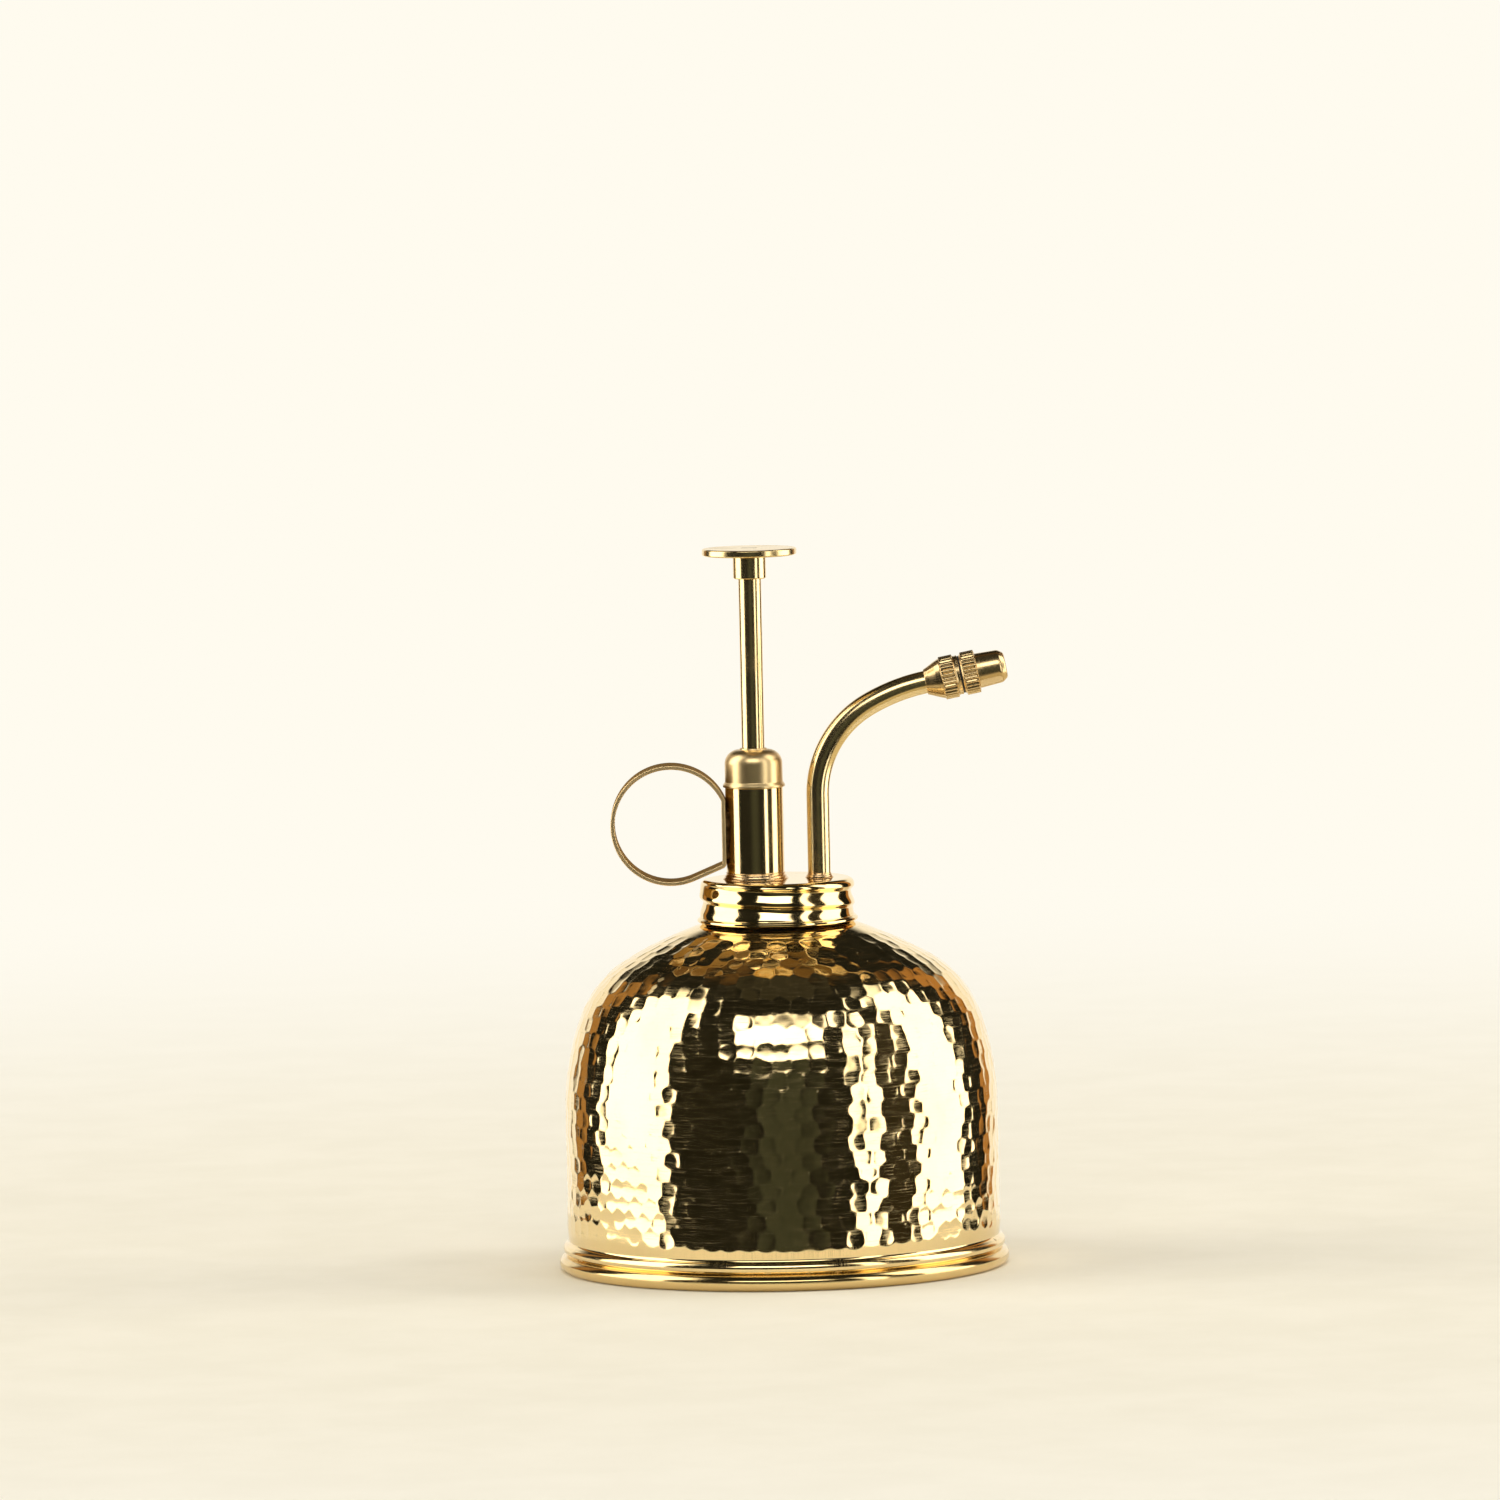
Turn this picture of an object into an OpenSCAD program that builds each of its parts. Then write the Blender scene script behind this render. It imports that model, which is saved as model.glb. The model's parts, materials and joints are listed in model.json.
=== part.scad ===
// Hand mister: a hammered dome reservoir with a screw-on pump head, a finger ring and a bent spout.
// The origin is the centre of the base, on the surface that the mister stands on.
// +Z is up, +X is towards the spout, and the finger ring is on the -X side.

/* [Reservoir] */
// Radius of the straight side of the reservoir
body_r = 47.6; // [47.2:0.1:48]
// Thickness of the sheet that the reservoir is spun from
sheet = 0.8; // [0.6:0.1:1]
// Height at which the straight side turns into the shoulder
side_h = 35; // [33:0.5:37]
// Radius of the rolled bead round the base
foot_bead_r = 1.8; // [1.6:0.1:2]
// Radius of the small bead above it
small_bead_r = 1.35; // [1.2:0.05:1.4]
// Outer radius of the neck below the screw cap
neck_r = 16.2; // [16:0.1:16.3]
// Height of the top of the neck
neck_top = 84; // [83.6:0.1:84]

/* [Screw cap] */
// Radius of the cap's plain skirt
cap_r = 17.1; // [17:0.1:17.4]
// Height of the top of the cap
cap_top = 85.4; // [85.4:0.1:86]
// Thickness of the cap's sheet
cap_sheet = 0.6; // [0.5:0.1:0.6]

/* [Pump] */
// Distance of the pump from the reservoir's axis
pump_offset = 4.6; // [4.4:0.1:4.8]
// Outer radius of the pump barrel
barrel_r = 6.35; // [6.25:0.05:6.5]
// Inner radius of the pump barrel
barrel_bore_r = 5.7; // [5.6:0.05:5.75]
// Radius of the plunger rod
rod_r = 2.5; // [2.4:0.05:2.6]
// Height of the thumb disc's top face
disc_top = 158; // [156:0.5:160]
// Radius of the thumb disc
disc_r = 10.35; // [9:0.05:11]
// Thickness of the thumb disc
disc_t = 1.6; // [1.4:0.1:2]
// Number of turns in the return spring
spring_turns = 11; // [9:1:11]

/* [Spout] */
// Distance of the spout from the reservoir's axis
spout_x = 9.33; // [9.1:0.01:9.6]
// Outer radius of the spout tube
spout_r = 2.5; // [2.4:0.05:2.6]
// Height at which the spout starts to bend
spout_straight = 103.5; // [98:0.5:108]
// Radius of the first, tighter stretch of the bend
bend_1_r = 22.5; // [20:0.5:25]
// Radius of the second, wider stretch of the bend
bend_2_r = 41.5; // [38:0.5:45]
// Rise of the nozzle above level, in degrees
nozzle_rise = 11; // [5:1:20]

/* [Nozzle] */
// Number of teeth round each knurl
knurl_teeth = 32; // [24:2:48]
// Radius over the knurls
knurl_r = 4.75; // [4.7:0.05:4.9]
// Length of the nozzle from the tube to its tip
nozzle_len = 18; // [17.6:0.1:19]

/* [Finger ring] */
// Inner radius of the finger ring
ring_r = 12.3; // [12:0.1:12.6]
// Thickness of the ring's strip
strip_t = 0.9; // [0.7:0.1:1]
// Width of the ring's strip
strip_w = 9; // [7:0.5:10]
// Height of the ring's centre
ring_z = 97.7; // [97.5:0.1:98.2]

/* [Hidden] */
$fn = 96;

// Small gap of a running fit, and the smallest overlap that makes a cut clean
running = 0.05;
cut = 0.1;

// The shoulder is three tangent arcs: their radii, and the angles at which they meet
arc_1_r = 60;
arc_2_r = 24;
arc_3_r = 90;
join_1 = 20;
join_2 = 60;
arc_1_c = [body_r - arc_1_r, side_h];
arc_2_c = arc_1_c + (arc_1_r - arc_2_r) * [cos(join_1), sin(join_1)];
arc_3_c = arc_2_c + (arc_2_r - arc_3_r) * [cos(join_2), sin(join_2)];

// Fillet between the shoulder and the neck, tangent to both
neck_fillet_r = 1.6;
fillet_x = neck_r + neck_fillet_r;
fillet_z = arc_3_c[1] + sqrt(pow(arc_3_r + neck_fillet_r, 2) - pow(fillet_x - arc_3_c[0], 2));
fillet_end = acos((fillet_x - arc_3_c[0]) / (arc_3_r + neck_fillet_r));

// Neck: wide below, narrower where the cap's rolled thread turns
neck_bore_r = 14.4;
thread_r = 15.2;
thread_z = 79.6;
neck_foot = 74;

// Screw cap: heights of its lip, skirt, groove and top bead
lip_z = 76.1;
skirt_z = 77.3;
groove_low = 79.5;
groove_z = 81.3;
groove_high = 83;
groove_depth = 1;
bead_inset = 0.1;
lip_flare = 0.55;
cap_edge_r = 1.4;
gasket_r = 15.6;
gasket_bore_r = 13.6;

// Pump: heights of the barrel, the gland and the piston
foot_ledge = 52;
barrel_top = 105.6;
gland_top = 113.8;
gland_spigot = 3.8;
gland_lip_r = 6.8;
gland_lip_h = 0.7;
shoulder_r = 3.1;
packing_r = 4.4;
packing_top = 111.4;
packing_z = 108.5;
bush_z = 102.6;
collar_r = 2.95;
collar_h = 0.3;
piston_top = 101;
piston_low = 94.5;
piston_r = 5.45;
seal_r = 0.9;
seal_z = 97.8;
rod_low = 95.5;
boss_r = 3.6;
boss_h = 5.1;
rivet_r = 1.6;
rivet_h = 1.4;
weep_r = 0.6;
weep_z = 82.5;

// Foot valve, with a ball of this radius on a 45 degree seat
foot_r = 7.5;
foot_low = 38;
foot_high = 56;
foot_pocket_r = 4.6;
foot_pocket_z = 48;
tube_r = 2;
tube_bore_r = 1.5;
tube_grip = 3;
inlet_ball_r = 2.25;
inlet_seat_z = 42.5;
inlet_room = 0.45;
inlet_pin_r = 0.6;
inlet_pin_z = 48.2;
port_z = 50;
port_grip = 1;
strainer_r = 3;
strainer_low = 4;
strainer_high = 9;
strainer_slot = 0.8;

// Outlet valve, on the same pattern, between the delivery pipe and the spout
outlet_r = 4;
outlet_low = 64;
outlet_high = 75.6;
spout_low = 72;
outlet_ball_r = 1.6;
outlet_hole_r = 1.2;
outlet_seat_z = 68;
outlet_room = 0.4;
outlet_pin_r = 0.4;
outlet_pin_z = 72 - 0.1 - outlet_pin_r;
pipe_bend_r = 5;

// Spout: wall, the turn of each stretch of the bend, and the point where the nozzle starts
spout_wall = 0.5;
bend_1_turn = 60;
bend_1_steps = 12;
bend_2_steps = 5;
spout_sides = 32;
bend_1_c = [spout_x + bend_1_r, spout_straight];
bend_1_end = bend_1_c + bend_1_r * [-cos(bend_1_turn), sin(bend_1_turn)];
bend_2_c = bend_1_end + bend_2_r * [cos(bend_1_turn), -sin(bend_1_turn)];
nozzle_at = bend_2_c + bend_2_r * [-sin(nozzle_rise), cos(nozzle_rise)];
tube_in_nozzle = 2.5;

// Nozzle: distances from its start along its own axis, and radii
cone_end = 3.6;
knurl_1 = [3.7, 6.8];
body_end = 7.8;
cap_start = 8.2;
knurl_2 = [8.5, 11.6];
barrel_start = 11.7;
knurl_depth = 0.25;
nozzle_core_r = 4.4;
stub_r = 3.2;
stub_end = 13;
core_low = 10;
nozzle_bore_r = 1.6;
seal_outer_r = 4.1;
barrel_base_r = 3.85;
barrel_tip_r = 3.5;
tip_edge_r = 1.2;
chamber_r = 2.9;
chamber = [13.4, 16.4];
orifice_r = 0.45;
core_flange_r = 2.4;
core_flange_end = 14;
core_tip_r = 0.5;
core_tip = 15.6;
core_flat = 1.15;

// Finger ring: its centre, and the slope of the strip below it
ring_face = -pump_offset - barrel_r;
ring_x = ring_face - ring_r + 0.25;
ring_slope = 22.7;
ring_facets = 60;
solder_w = 6.8;
solder_low = 89.5;
solder_high = 101;

// Return spring
spring_seat_t = 0.8;
spring_seat_bore_r = 3.2;
wire_r = 0.4;
coil_r = 4.9;
spring_low = foot_ledge + spring_seat_t;
ring_steps = 16;
wire_sides = 6;

function arc(c, r, from, to, steps) =
    [for (i = [0:steps]) let (a = from + (to - from) * i / steps) c + r * [cos(a), sin(a)]];

// The shoulder's arcs, moved inwards by the sheet's thickness for its inside
function shoulder(inset, last) = concat(
    arc(arc_1_c, arc_1_r - inset, 0, join_1, 6),
    arc(arc_2_c, arc_2_r - inset, join_1, join_2, 10),
    arc(arc_3_c, arc_3_r - inset, join_2, last, 4));

function knurl(r) =
    [for (i = [0:2 * knurl_teeth - 1])
        let (a = i * 180 / knurl_teeth, q = r - (i % 2) * knurl_depth) q * [cos(a), sin(a)]];

module tube(r, bore, low, high) {
    rotate_extrude()
        translate([bore, low])
            square([r - bore, high - low]);
}

// A stretch of bent tube in the XZ plane, about the centre c, between two angles from +X
module bent_tube(c, bend, from, to, r, bore) {
    translate([c[0], 0, c[1]])
        rotate([90, 0, 0])
            rotate([0, 0, from])
                rotate_extrude(angle = to - from)
                    translate([bend, 0])
                        difference() {
                            circle(r = r);
                            circle(r = bore);
                        }
}

module at_pump() {
    translate([-pump_offset, 0, 0])
        children();
}

module at_spout() {
    translate([spout_x, 0, 0])
        children();
}

module at_nozzle() {
    translate([nozzle_at[0], 0, nozzle_at[1]])
        rotate([0, 90 - nozzle_rise, 0])
            children();
}

module base_pan() {
    color("goldenrod")
        rotate_extrude()
            difference() {
                union() {
                    square([body_r, sheet]);
                    translate([body_r, foot_bead_r])
                        circle(r = foot_bead_r);
                }
                translate([body_r - sheet, sheet])
                    square([sheet, 2 * foot_bead_r]);
            }
}

module reservoir_shell() {
    inside = shoulder(sheet, acos((neck_r - arc_3_c[0]) / (arc_3_r - sheet)));
    outline = concat(
        [[body_r - sheet, sheet], [body_r, sheet]],
        shoulder(0, fillet_end),
        arc([fillet_x, fillet_z], neck_fillet_r, 180 + fillet_end, 180, 5),
        [for (i = [len(inside) - 1:-1:0]) inside[i]]);
    color("gold")
        rotate_extrude() {
            polygon(outline);
            intersection() {
                translate([body_r + 0.9 - small_bead_r, 2 * foot_bead_r + small_bead_r])
                    circle(r = small_bead_r);
                translate([body_r - sheet, 0])
                    square([3 * small_bead_r, side_h]);
            }
        }
}

module neck_ring() {
    color("goldenrod") {
        tube(neck_r, neck_bore_r, neck_foot, thread_z);
        tube(thread_r, neck_bore_r, thread_z, neck_top);
    }
}

module cap_gasket() {
    color("dimgray")
        tube(gasket_r, gasket_bore_r, neck_top, cap_top - cap_sheet);
}

// Half of the cap's section, moved inwards by inset for its inside
module cap_section(inset) {
    side = cap_r - inset;
    top = cap_top - inset;
    bead = side - bead_inset;
    edge = cap_edge_r - inset;
    polygon(concat(
        [[0, lip_z - cut], [side + lip_flare, lip_z - cut], [side + lip_flare, lip_z + cap_sheet / 2]],
        [[side, skirt_z], [side, groove_low]],
        [[side - groove_depth * 0.6, groove_low + 0.7], [side - groove_depth, groove_z]],
        [[side - groove_depth * 0.6, groove_high - 0.7], [bead, groove_high]],
        arc([bead - edge, top - edge], edge, 0, 90, 6),
        [[0, top]]));
}

module screw_cap() {
    color("gold")
        difference() {
            rotate_extrude()
                intersection() {
                    difference() {
                        cap_section(0);
                        cap_section(cap_sheet);
                    }
                    translate([0, lip_z])
                        square([2 * cap_r, cap_top]);
                }
            at_pump()
                cylinder(r = barrel_r, h = 2 * cap_top);
            at_spout()
                cylinder(r = spout_r, h = 2 * cap_top);
        }
}

module pump_barrel() {
    color("gold")
        at_pump()
            difference() {
                tube(barrel_r, barrel_bore_r, foot_ledge, barrel_top);
                translate([0, 0, weep_z])
                    rotate([90, 0, 0])
                        cylinder(r = weep_r, h = 2 * barrel_r);
            }
}

module solder_ring(r, foot, height) {
    rotate_extrude()
        translate([r, cap_top])
            polygon([[0, 0], [foot, 0], [foot / 2, height / 2], [foot / 3, height], [0, height]]);
}

module barrel_solder_ring() {
    color("rosybrown")
        at_pump()
            solder_ring(barrel_r, 0.9, 1.6);
}

module spout_solder_ring() {
    color("rosybrown")
        at_spout()
            solder_ring(spout_r, 0.7, 1.2);
}

module gland_cap() {
    flat_r = barrel_r - shoulder_r;
    color("gold")
        at_pump()
            rotate_extrude()
                difference() {
                    polygon(concat(
                        [[0, barrel_top - gland_spigot], [barrel_bore_r, barrel_top - gland_spigot]],
                        [[barrel_bore_r, barrel_top], [gland_lip_r, barrel_top]],
                        [[gland_lip_r, barrel_top + gland_lip_h]],
                        [[barrel_r, barrel_top + 2 * gland_lip_h]],
                        arc([flat_r, gland_top - shoulder_r], shoulder_r, 0, 90, 8),
                        [[collar_r, gland_top], [collar_r, gland_top + collar_h]],
                        [[0, gland_top + collar_h]]));
                    square([rod_r + running, disc_top]);
                    square([packing_r, packing_top]);
                }
}

module gland_packing() {
    color("dimgray")
        at_pump()
            tube(packing_r, rod_r + running / 2, packing_z, packing_top);
}

module gland_bush() {
    color("darkgoldenrod")
        at_pump()
            tube(packing_r, rod_r + running, bush_z, packing_z);
}

module plunger_rod() {
    color("gold")
        at_pump()
            translate([0, 0, rod_low])
                cylinder(r = rod_r, h = disc_top - disc_t - rivet_h - rod_low);
}

module thumb_boss() {
    top = disc_top - disc_t;
    color("gold")
        at_pump()
            difference() {
                tube(boss_r, rivet_r, top - boss_h, top);
                translate([0, 0, top - boss_h - cut])
                    cylinder(r = rod_r, h = boss_h - rivet_h + cut);
            }
}

module thumb_disc() {
    edge = disc_t / 4;
    color("gold")
        at_pump() {
            rotate_extrude()
                translate([0, disc_top - disc_t])
                    polygon(concat(
                        [[0, 0]],
                        arc([disc_r - edge, edge], edge, -90, 0, 3),
                        arc([disc_r - edge, disc_t - edge], edge, 0, 90, 3),
                        [[0, disc_t]]));
            translate([0, 0, disc_top - disc_t - rivet_h])
                cylinder(r = rivet_r, h = rivet_h + disc_t / 2);
        }
}

module piston() {
    color("darkgoldenrod")
        at_pump()
            difference() {
                tube(piston_r, 0, piston_low, piston_top);
                tube(2 * piston_r, barrel_bore_r - running - 2 * seal_r, seal_z - seal_r, seal_z + seal_r);
                translate([0, 0, rod_low])
                    cylinder(r = rod_r, h = piston_top);
            }
}

module piston_seal() {
    color("dimgray")
        at_pump()
            translate([0, 0, seal_z])
                rotate_extrude()
                    translate([barrel_bore_r - running - seal_r, 0])
                        circle(r = seal_r);
}

// The wire, swept round as rings of wire_sides corners, and closed by a fan at each end
module return_spring() {
    rings = spring_turns * ring_steps;
    rise = piston_low - spring_low - 2 * wire_r;
    points = [for (i = [0:rings], j = [0:wire_sides - 1])
        let (a = i * 360 / ring_steps, b = j * 360 / wire_sides, q = coil_r + wire_r * cos(b))
            [q * cos(a), q * sin(a), rise * i / rings + wire_r * sin(b)]];
    sides = [for (i = [0:rings - 1], j = [0:wire_sides - 1])
        let (k = (j + 1) % wire_sides, low = i * wire_sides, high = low + wire_sides)
            [low + j, high + j, high + k, low + k]];
    ends = [[for (j = [0:wire_sides - 1]) j],
        [for (j = [wire_sides - 1:-1:0]) rings * wire_sides + j]];
    color("silver")
        at_pump()
            translate([0, 0, spring_low + wire_r])
                polyhedron(points, concat(sides, ends));
}

module spring_seat() {
    color("darkgoldenrod")
        at_pump()
            tube(barrel_bore_r - running, spring_seat_bore_r, foot_ledge, spring_low);
}

// Chamber of a ball valve: a hole, a 45 degree seat, and room for the ball
module ball_chamber(hole, ball, room, seat, top) {
    rotate_extrude()
        polygon([[0, seat - hole], [hole, seat - hole], [hole, seat],
            [ball + room, seat + ball + room - hole], [ball + room, top], [0, top]]);
}

module ball(r, hole, seat) {
    translate([0, 0, seat - hole + r * sqrt(2)])
        sphere(r = r);
}

module foot_valve_body() {
    color("darkgoldenrod")
        at_pump()
            difference() {
                tube(foot_r, 0, foot_low, foot_high);
                tube(tube_r, 0, foot_low - cut, foot_low + tube_grip);
                ball_chamber(tube_bore_r, inlet_ball_r, inlet_room, inlet_seat_z, foot_pocket_z + cut);
                tube(foot_pocket_r, 0, foot_pocket_z, foot_ledge + cut);
                tube(barrel_r, 0, foot_ledge, foot_high + cut);
                translate([0, 0, port_z])
                    rotate([0, 90, 0]) {
                        cylinder(r = tube_bore_r, h = foot_r);
                        translate([0, 0, foot_r - port_grip])
                            cylinder(r = tube_r, h = foot_r);
                    }
                inlet_pin_shape(2 * foot_r);
            }
}

module inlet_pin_shape(length) {
    translate([0, 0, inlet_pin_z])
        rotate([90, 0, 0])
            cylinder(r = inlet_pin_r, h = length, center = true);
}

module inlet_stop_pin() {
    color("silver")
        at_pump()
            inlet_pin_shape(2 * foot_r - 1);
}

module inlet_ball() {
    color("silver")
        at_pump()
            ball(inlet_ball_r, tube_bore_r, inlet_seat_z);
}

module dip_tube() {
    color("whitesmoke")
        at_pump()
            tube(tube_r, tube_bore_r, (strainer_low + strainer_high) / 2, foot_low + tube_grip);
}

module strainer() {
    middle = (strainer_low + strainer_high) / 2;
    color("whitesmoke")
        at_pump()
            difference() {
                tube(strainer_r, 0, strainer_low, strainer_high);
                tube(tube_r, 0, middle, strainer_high + cut);
                tube(tube_bore_r, 0, strainer_low + sheet, middle + cut);
                for (a = [0, 60, 120])
                    rotate([0, 0, a])
                        translate([-2 * strainer_r, -strainer_slot / 2, strainer_low - cut])
                            cube([4 * strainer_r, strainer_slot, sheet + 2 * cut]);
            }
}

module delivery_pipe() {
    start = -pump_offset + foot_r - port_grip;
    turn = spout_x - pipe_bend_r;
    color("gold") {
        translate([start, 0, port_z])
            rotate([0, 90, 0])
                tube(tube_r, tube_bore_r, 0, turn - start);
        bent_tube([turn, port_z + pipe_bend_r], pipe_bend_r, -90, 0, tube_r, tube_bore_r);
        at_spout()
            tube(tube_r, tube_bore_r, port_z + pipe_bend_r, outlet_low + tube_grip);
    }
}

module outlet_valve_body() {
    color("darkgoldenrod")
        at_spout()
            difference() {
                tube(outlet_r, 0, outlet_low, outlet_high);
                tube(tube_r, 0, outlet_low - cut, outlet_low + tube_grip);
                ball_chamber(outlet_hole_r, outlet_ball_r, outlet_room, outlet_seat_z, spout_low + cut);
                tube(spout_r, 0, spout_low, outlet_high + cut);
                outlet_pin_shape(4 * outlet_r);
            }
}

module outlet_pin_shape(length) {
    translate([0, 0, outlet_pin_z])
        rotate([90, 0, 0])
            cylinder(r = outlet_pin_r, h = length, center = true);
}

module outlet_stop_pin() {
    color("silver")
        at_spout()
            outlet_pin_shape(2 * outlet_r - 1);
}

module outlet_ball() {
    color("silver")
        at_spout()
            ball(outlet_ball_r, outlet_hole_r, outlet_seat_z);
}

// Corners of one ring of the spout, for a point of its centre line given as [x, z, heading]
function spout_ring(p, r) =
    [for (j = [0:spout_sides - 1])
        let (a = j * 360 / spout_sides)
            [p[0] - r * cos(a) * sin(p[2]), r * sin(a), p[1] + r * cos(a) * cos(p[2])]];

function bend(c, r, from, to, steps) =
    [for (i = [1:steps])
        let (a = from + (to - from) * i / steps)
            [c[0] - r * cos(a), c[1] + r * sin(a), 90 - a]];

// The tube's surface runs up its outside ring by ring, and back down its bore
module spout_tube() {
    tip = nozzle_at + tube_in_nozzle * [cos(nozzle_rise), sin(nozzle_rise)];
    path = concat(
        [[spout_x, spout_low, 90], [spout_x, spout_straight, 90]],
        bend(bend_1_c, bend_1_r, 0, bend_1_turn, bend_1_steps),
        bend(bend_2_c, bend_2_r, bend_1_turn, 90 - nozzle_rise, bend_2_steps),
        [[tip[0], tip[1], nozzle_rise]]);
    last = len(path) - 1;
    points = concat(
        [for (i = [0:last]) each spout_ring(path[i], spout_r)],
        [for (i = [last:-1:0]) each spout_ring(path[i], spout_r - spout_wall)]);
    rings = 2 * len(path);
    faces = [for (i = [0:rings - 1], j = [0:spout_sides - 1])
        let (low = i * spout_sides, high = (i + 1) % rings * spout_sides, k = (j + 1) % spout_sides)
            [low + j, high + j, high + k, low + k]];
    color("gold")
        polyhedron(points, faces);
}

// The ring's outline in the XZ plane, for a strip's face at the radius r and the flat at x
function ring_outline(r, x) =
    let (foot = r * [sin(ring_slope), -cos(ring_slope)],
        corner = foot[1] + (x - ring_x - foot[0]) * tan(ring_slope))
    concat(
        arc([ring_x, ring_z], r, acos((x - ring_x) / r), 270 + ring_slope, ring_facets),
        [[x, ring_z + corner]]);

module finger_ring() {
    color("gold")
        rotate([90, 0, 0])
            linear_extrude(height = strip_w, center = true)
                difference() {
                    polygon(ring_outline(ring_r + strip_t, ring_face));
                    polygon(ring_outline(ring_r, ring_face - strip_t));
                }
}

module ring_solder() {
    color("rosybrown")
        difference() {
            translate([ring_face, -solder_w / 2, solder_low])
                cube([1, solder_w, solder_high - solder_low]);
            at_pump()
                cylinder(r = barrel_r, h = 2 * solder_high);
        }
}

module nozzle_knurl(span) {
    translate([0, 0, span[0]])
        linear_extrude(height = span[1] - span[0])
            polygon(knurl(knurl_r));
}

module nozzle_body() {
    color("gold")
        at_nozzle()
            difference() {
                union() {
                    rotate_extrude()
                        polygon([[0, 0], [spout_r + 0.25, 0], [spout_r + 0.7, 0.9],
                            [nozzle_core_r - 0.45, cone_end - 1.1], [nozzle_core_r, cone_end],
                            [nozzle_core_r, body_end], [stub_r, body_end], [stub_r, stub_end],
                            [0, stub_end]]);
                    nozzle_knurl(knurl_1);
                }
                translate([0, 0, -cut])
                    cylinder(r = spout_r, h = tube_in_nozzle + cut);
                cylinder(r = nozzle_bore_r, h = nozzle_len);
            }
}

module nozzle_seal() {
    color("dimgray")
        at_nozzle()
            tube(seal_outer_r, stub_r + running, body_end, cap_start);
}

module swirl_core() {
    color("darkgoldenrod")
        at_nozzle()
            difference() {
                rotate_extrude()
                    polygon([[0, core_low], [nozzle_bore_r, core_low], [nozzle_bore_r, stub_end],
                        [core_flange_r, stub_end], [core_flange_r, core_flange_end],
                        [nozzle_bore_r, core_flange_end], [core_tip_r, core_tip], [0, core_tip]]);
                for (side = [-1, 1])
                    translate([side * (core_flat + nozzle_len / 2), 0, core_low])
                        cube([nozzle_len, nozzle_len, 2 * (core_flange_end - core_low) + cut], center = true);
            }
}

module nozzle_cap() {
    color("gold")
        at_nozzle()
            difference() {
                union() {
                    rotate_extrude()
                        polygon(concat(
                            [[0, cap_start], [nozzle_core_r - 0.2, cap_start]],
                            [[nozzle_core_r, knurl_2[0]], [nozzle_core_r, knurl_2[1]]],
                            [[nozzle_core_r - 0.2, barrel_start], [barrel_base_r, barrel_start]],
                            arc([barrel_tip_r - tip_edge_r, nozzle_len - tip_edge_r], tip_edge_r, 0, 90, 5),
                            [[0, nozzle_len]]));
                    nozzle_knurl(knurl_2);
                }
                tube(stub_r + running, 0, cap_start - cut, chamber[0]);
                tube(chamber_r, 0, chamber[0] - cut, chamber[1]);
                cylinder(r = orifice_r, h = 2 * nozzle_len);
            }
}

base_pan();
reservoir_shell();
neck_ring();
cap_gasket();
screw_cap();
pump_barrel();
barrel_solder_ring();
gland_cap();
gland_packing();
gland_bush();
plunger_rod();
thumb_boss();
thumb_disc();
piston();
piston_seal();
return_spring();
spring_seat();
foot_valve_body();
inlet_ball();
inlet_stop_pin();
dip_tube();
strainer();
delivery_pipe();
outlet_valve_body();
outlet_ball();
outlet_stop_pin();
spout_tube();
spout_solder_ring();
finger_ring();
ring_solder();
nozzle_body();
nozzle_seal();
swirl_core();
nozzle_cap();
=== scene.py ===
import json
import math

import bmesh
import bpy
import numpy as np
from mathutils import Matrix, Vector


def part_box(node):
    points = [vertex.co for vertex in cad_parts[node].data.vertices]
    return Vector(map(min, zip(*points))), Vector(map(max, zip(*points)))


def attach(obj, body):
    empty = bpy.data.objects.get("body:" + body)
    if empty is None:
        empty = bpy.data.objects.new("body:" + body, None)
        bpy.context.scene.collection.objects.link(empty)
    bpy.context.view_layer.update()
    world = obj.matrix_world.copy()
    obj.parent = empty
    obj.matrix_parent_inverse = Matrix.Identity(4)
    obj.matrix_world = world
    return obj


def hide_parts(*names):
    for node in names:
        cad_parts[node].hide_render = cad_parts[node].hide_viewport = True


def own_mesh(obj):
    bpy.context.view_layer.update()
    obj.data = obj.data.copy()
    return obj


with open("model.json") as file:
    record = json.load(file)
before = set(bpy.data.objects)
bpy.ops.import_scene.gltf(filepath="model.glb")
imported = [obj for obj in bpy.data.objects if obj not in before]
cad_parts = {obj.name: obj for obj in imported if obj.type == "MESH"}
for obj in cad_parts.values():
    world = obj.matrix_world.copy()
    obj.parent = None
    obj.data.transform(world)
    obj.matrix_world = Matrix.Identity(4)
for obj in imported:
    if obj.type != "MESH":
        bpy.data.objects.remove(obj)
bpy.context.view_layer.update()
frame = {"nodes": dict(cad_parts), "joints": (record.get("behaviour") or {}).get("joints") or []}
scene = bpy.context.scene

# Lengths in this script are in millimetres; Blender's are in metres.
MM = 0.001
TAU = 2 * math.pi


def low(node):
    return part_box(node)[0] / MM


def high(node):
    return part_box(node)[1] / MM


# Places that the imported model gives
PUMP_X = (low("pump_barrel").x + high("pump_barrel").x) / 2
SPOUT_X = (low("outlet_valve_body").x + high("outlet_valve_body").x) / 2
BARREL_R = high("pump_barrel").y
ROD_R = high("plunger_rod").y
SPOUT_R = high("spout_tube").y
NECK_R = high("neck_ring").x
CAP_TOP = high("screw_cap").z
DISC_TOP = high("thumb_disc").z
JOINTS = {joint["name"]: joint for joint in frame["joints"]}
NOZZLE_AT = Vector(JOINTS["nozzle_turn"]["pos_m"]) / MM
NOZZLE_AXIS = Vector(JOINTS["nozzle_turn"]["axis"]).normalized()

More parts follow.
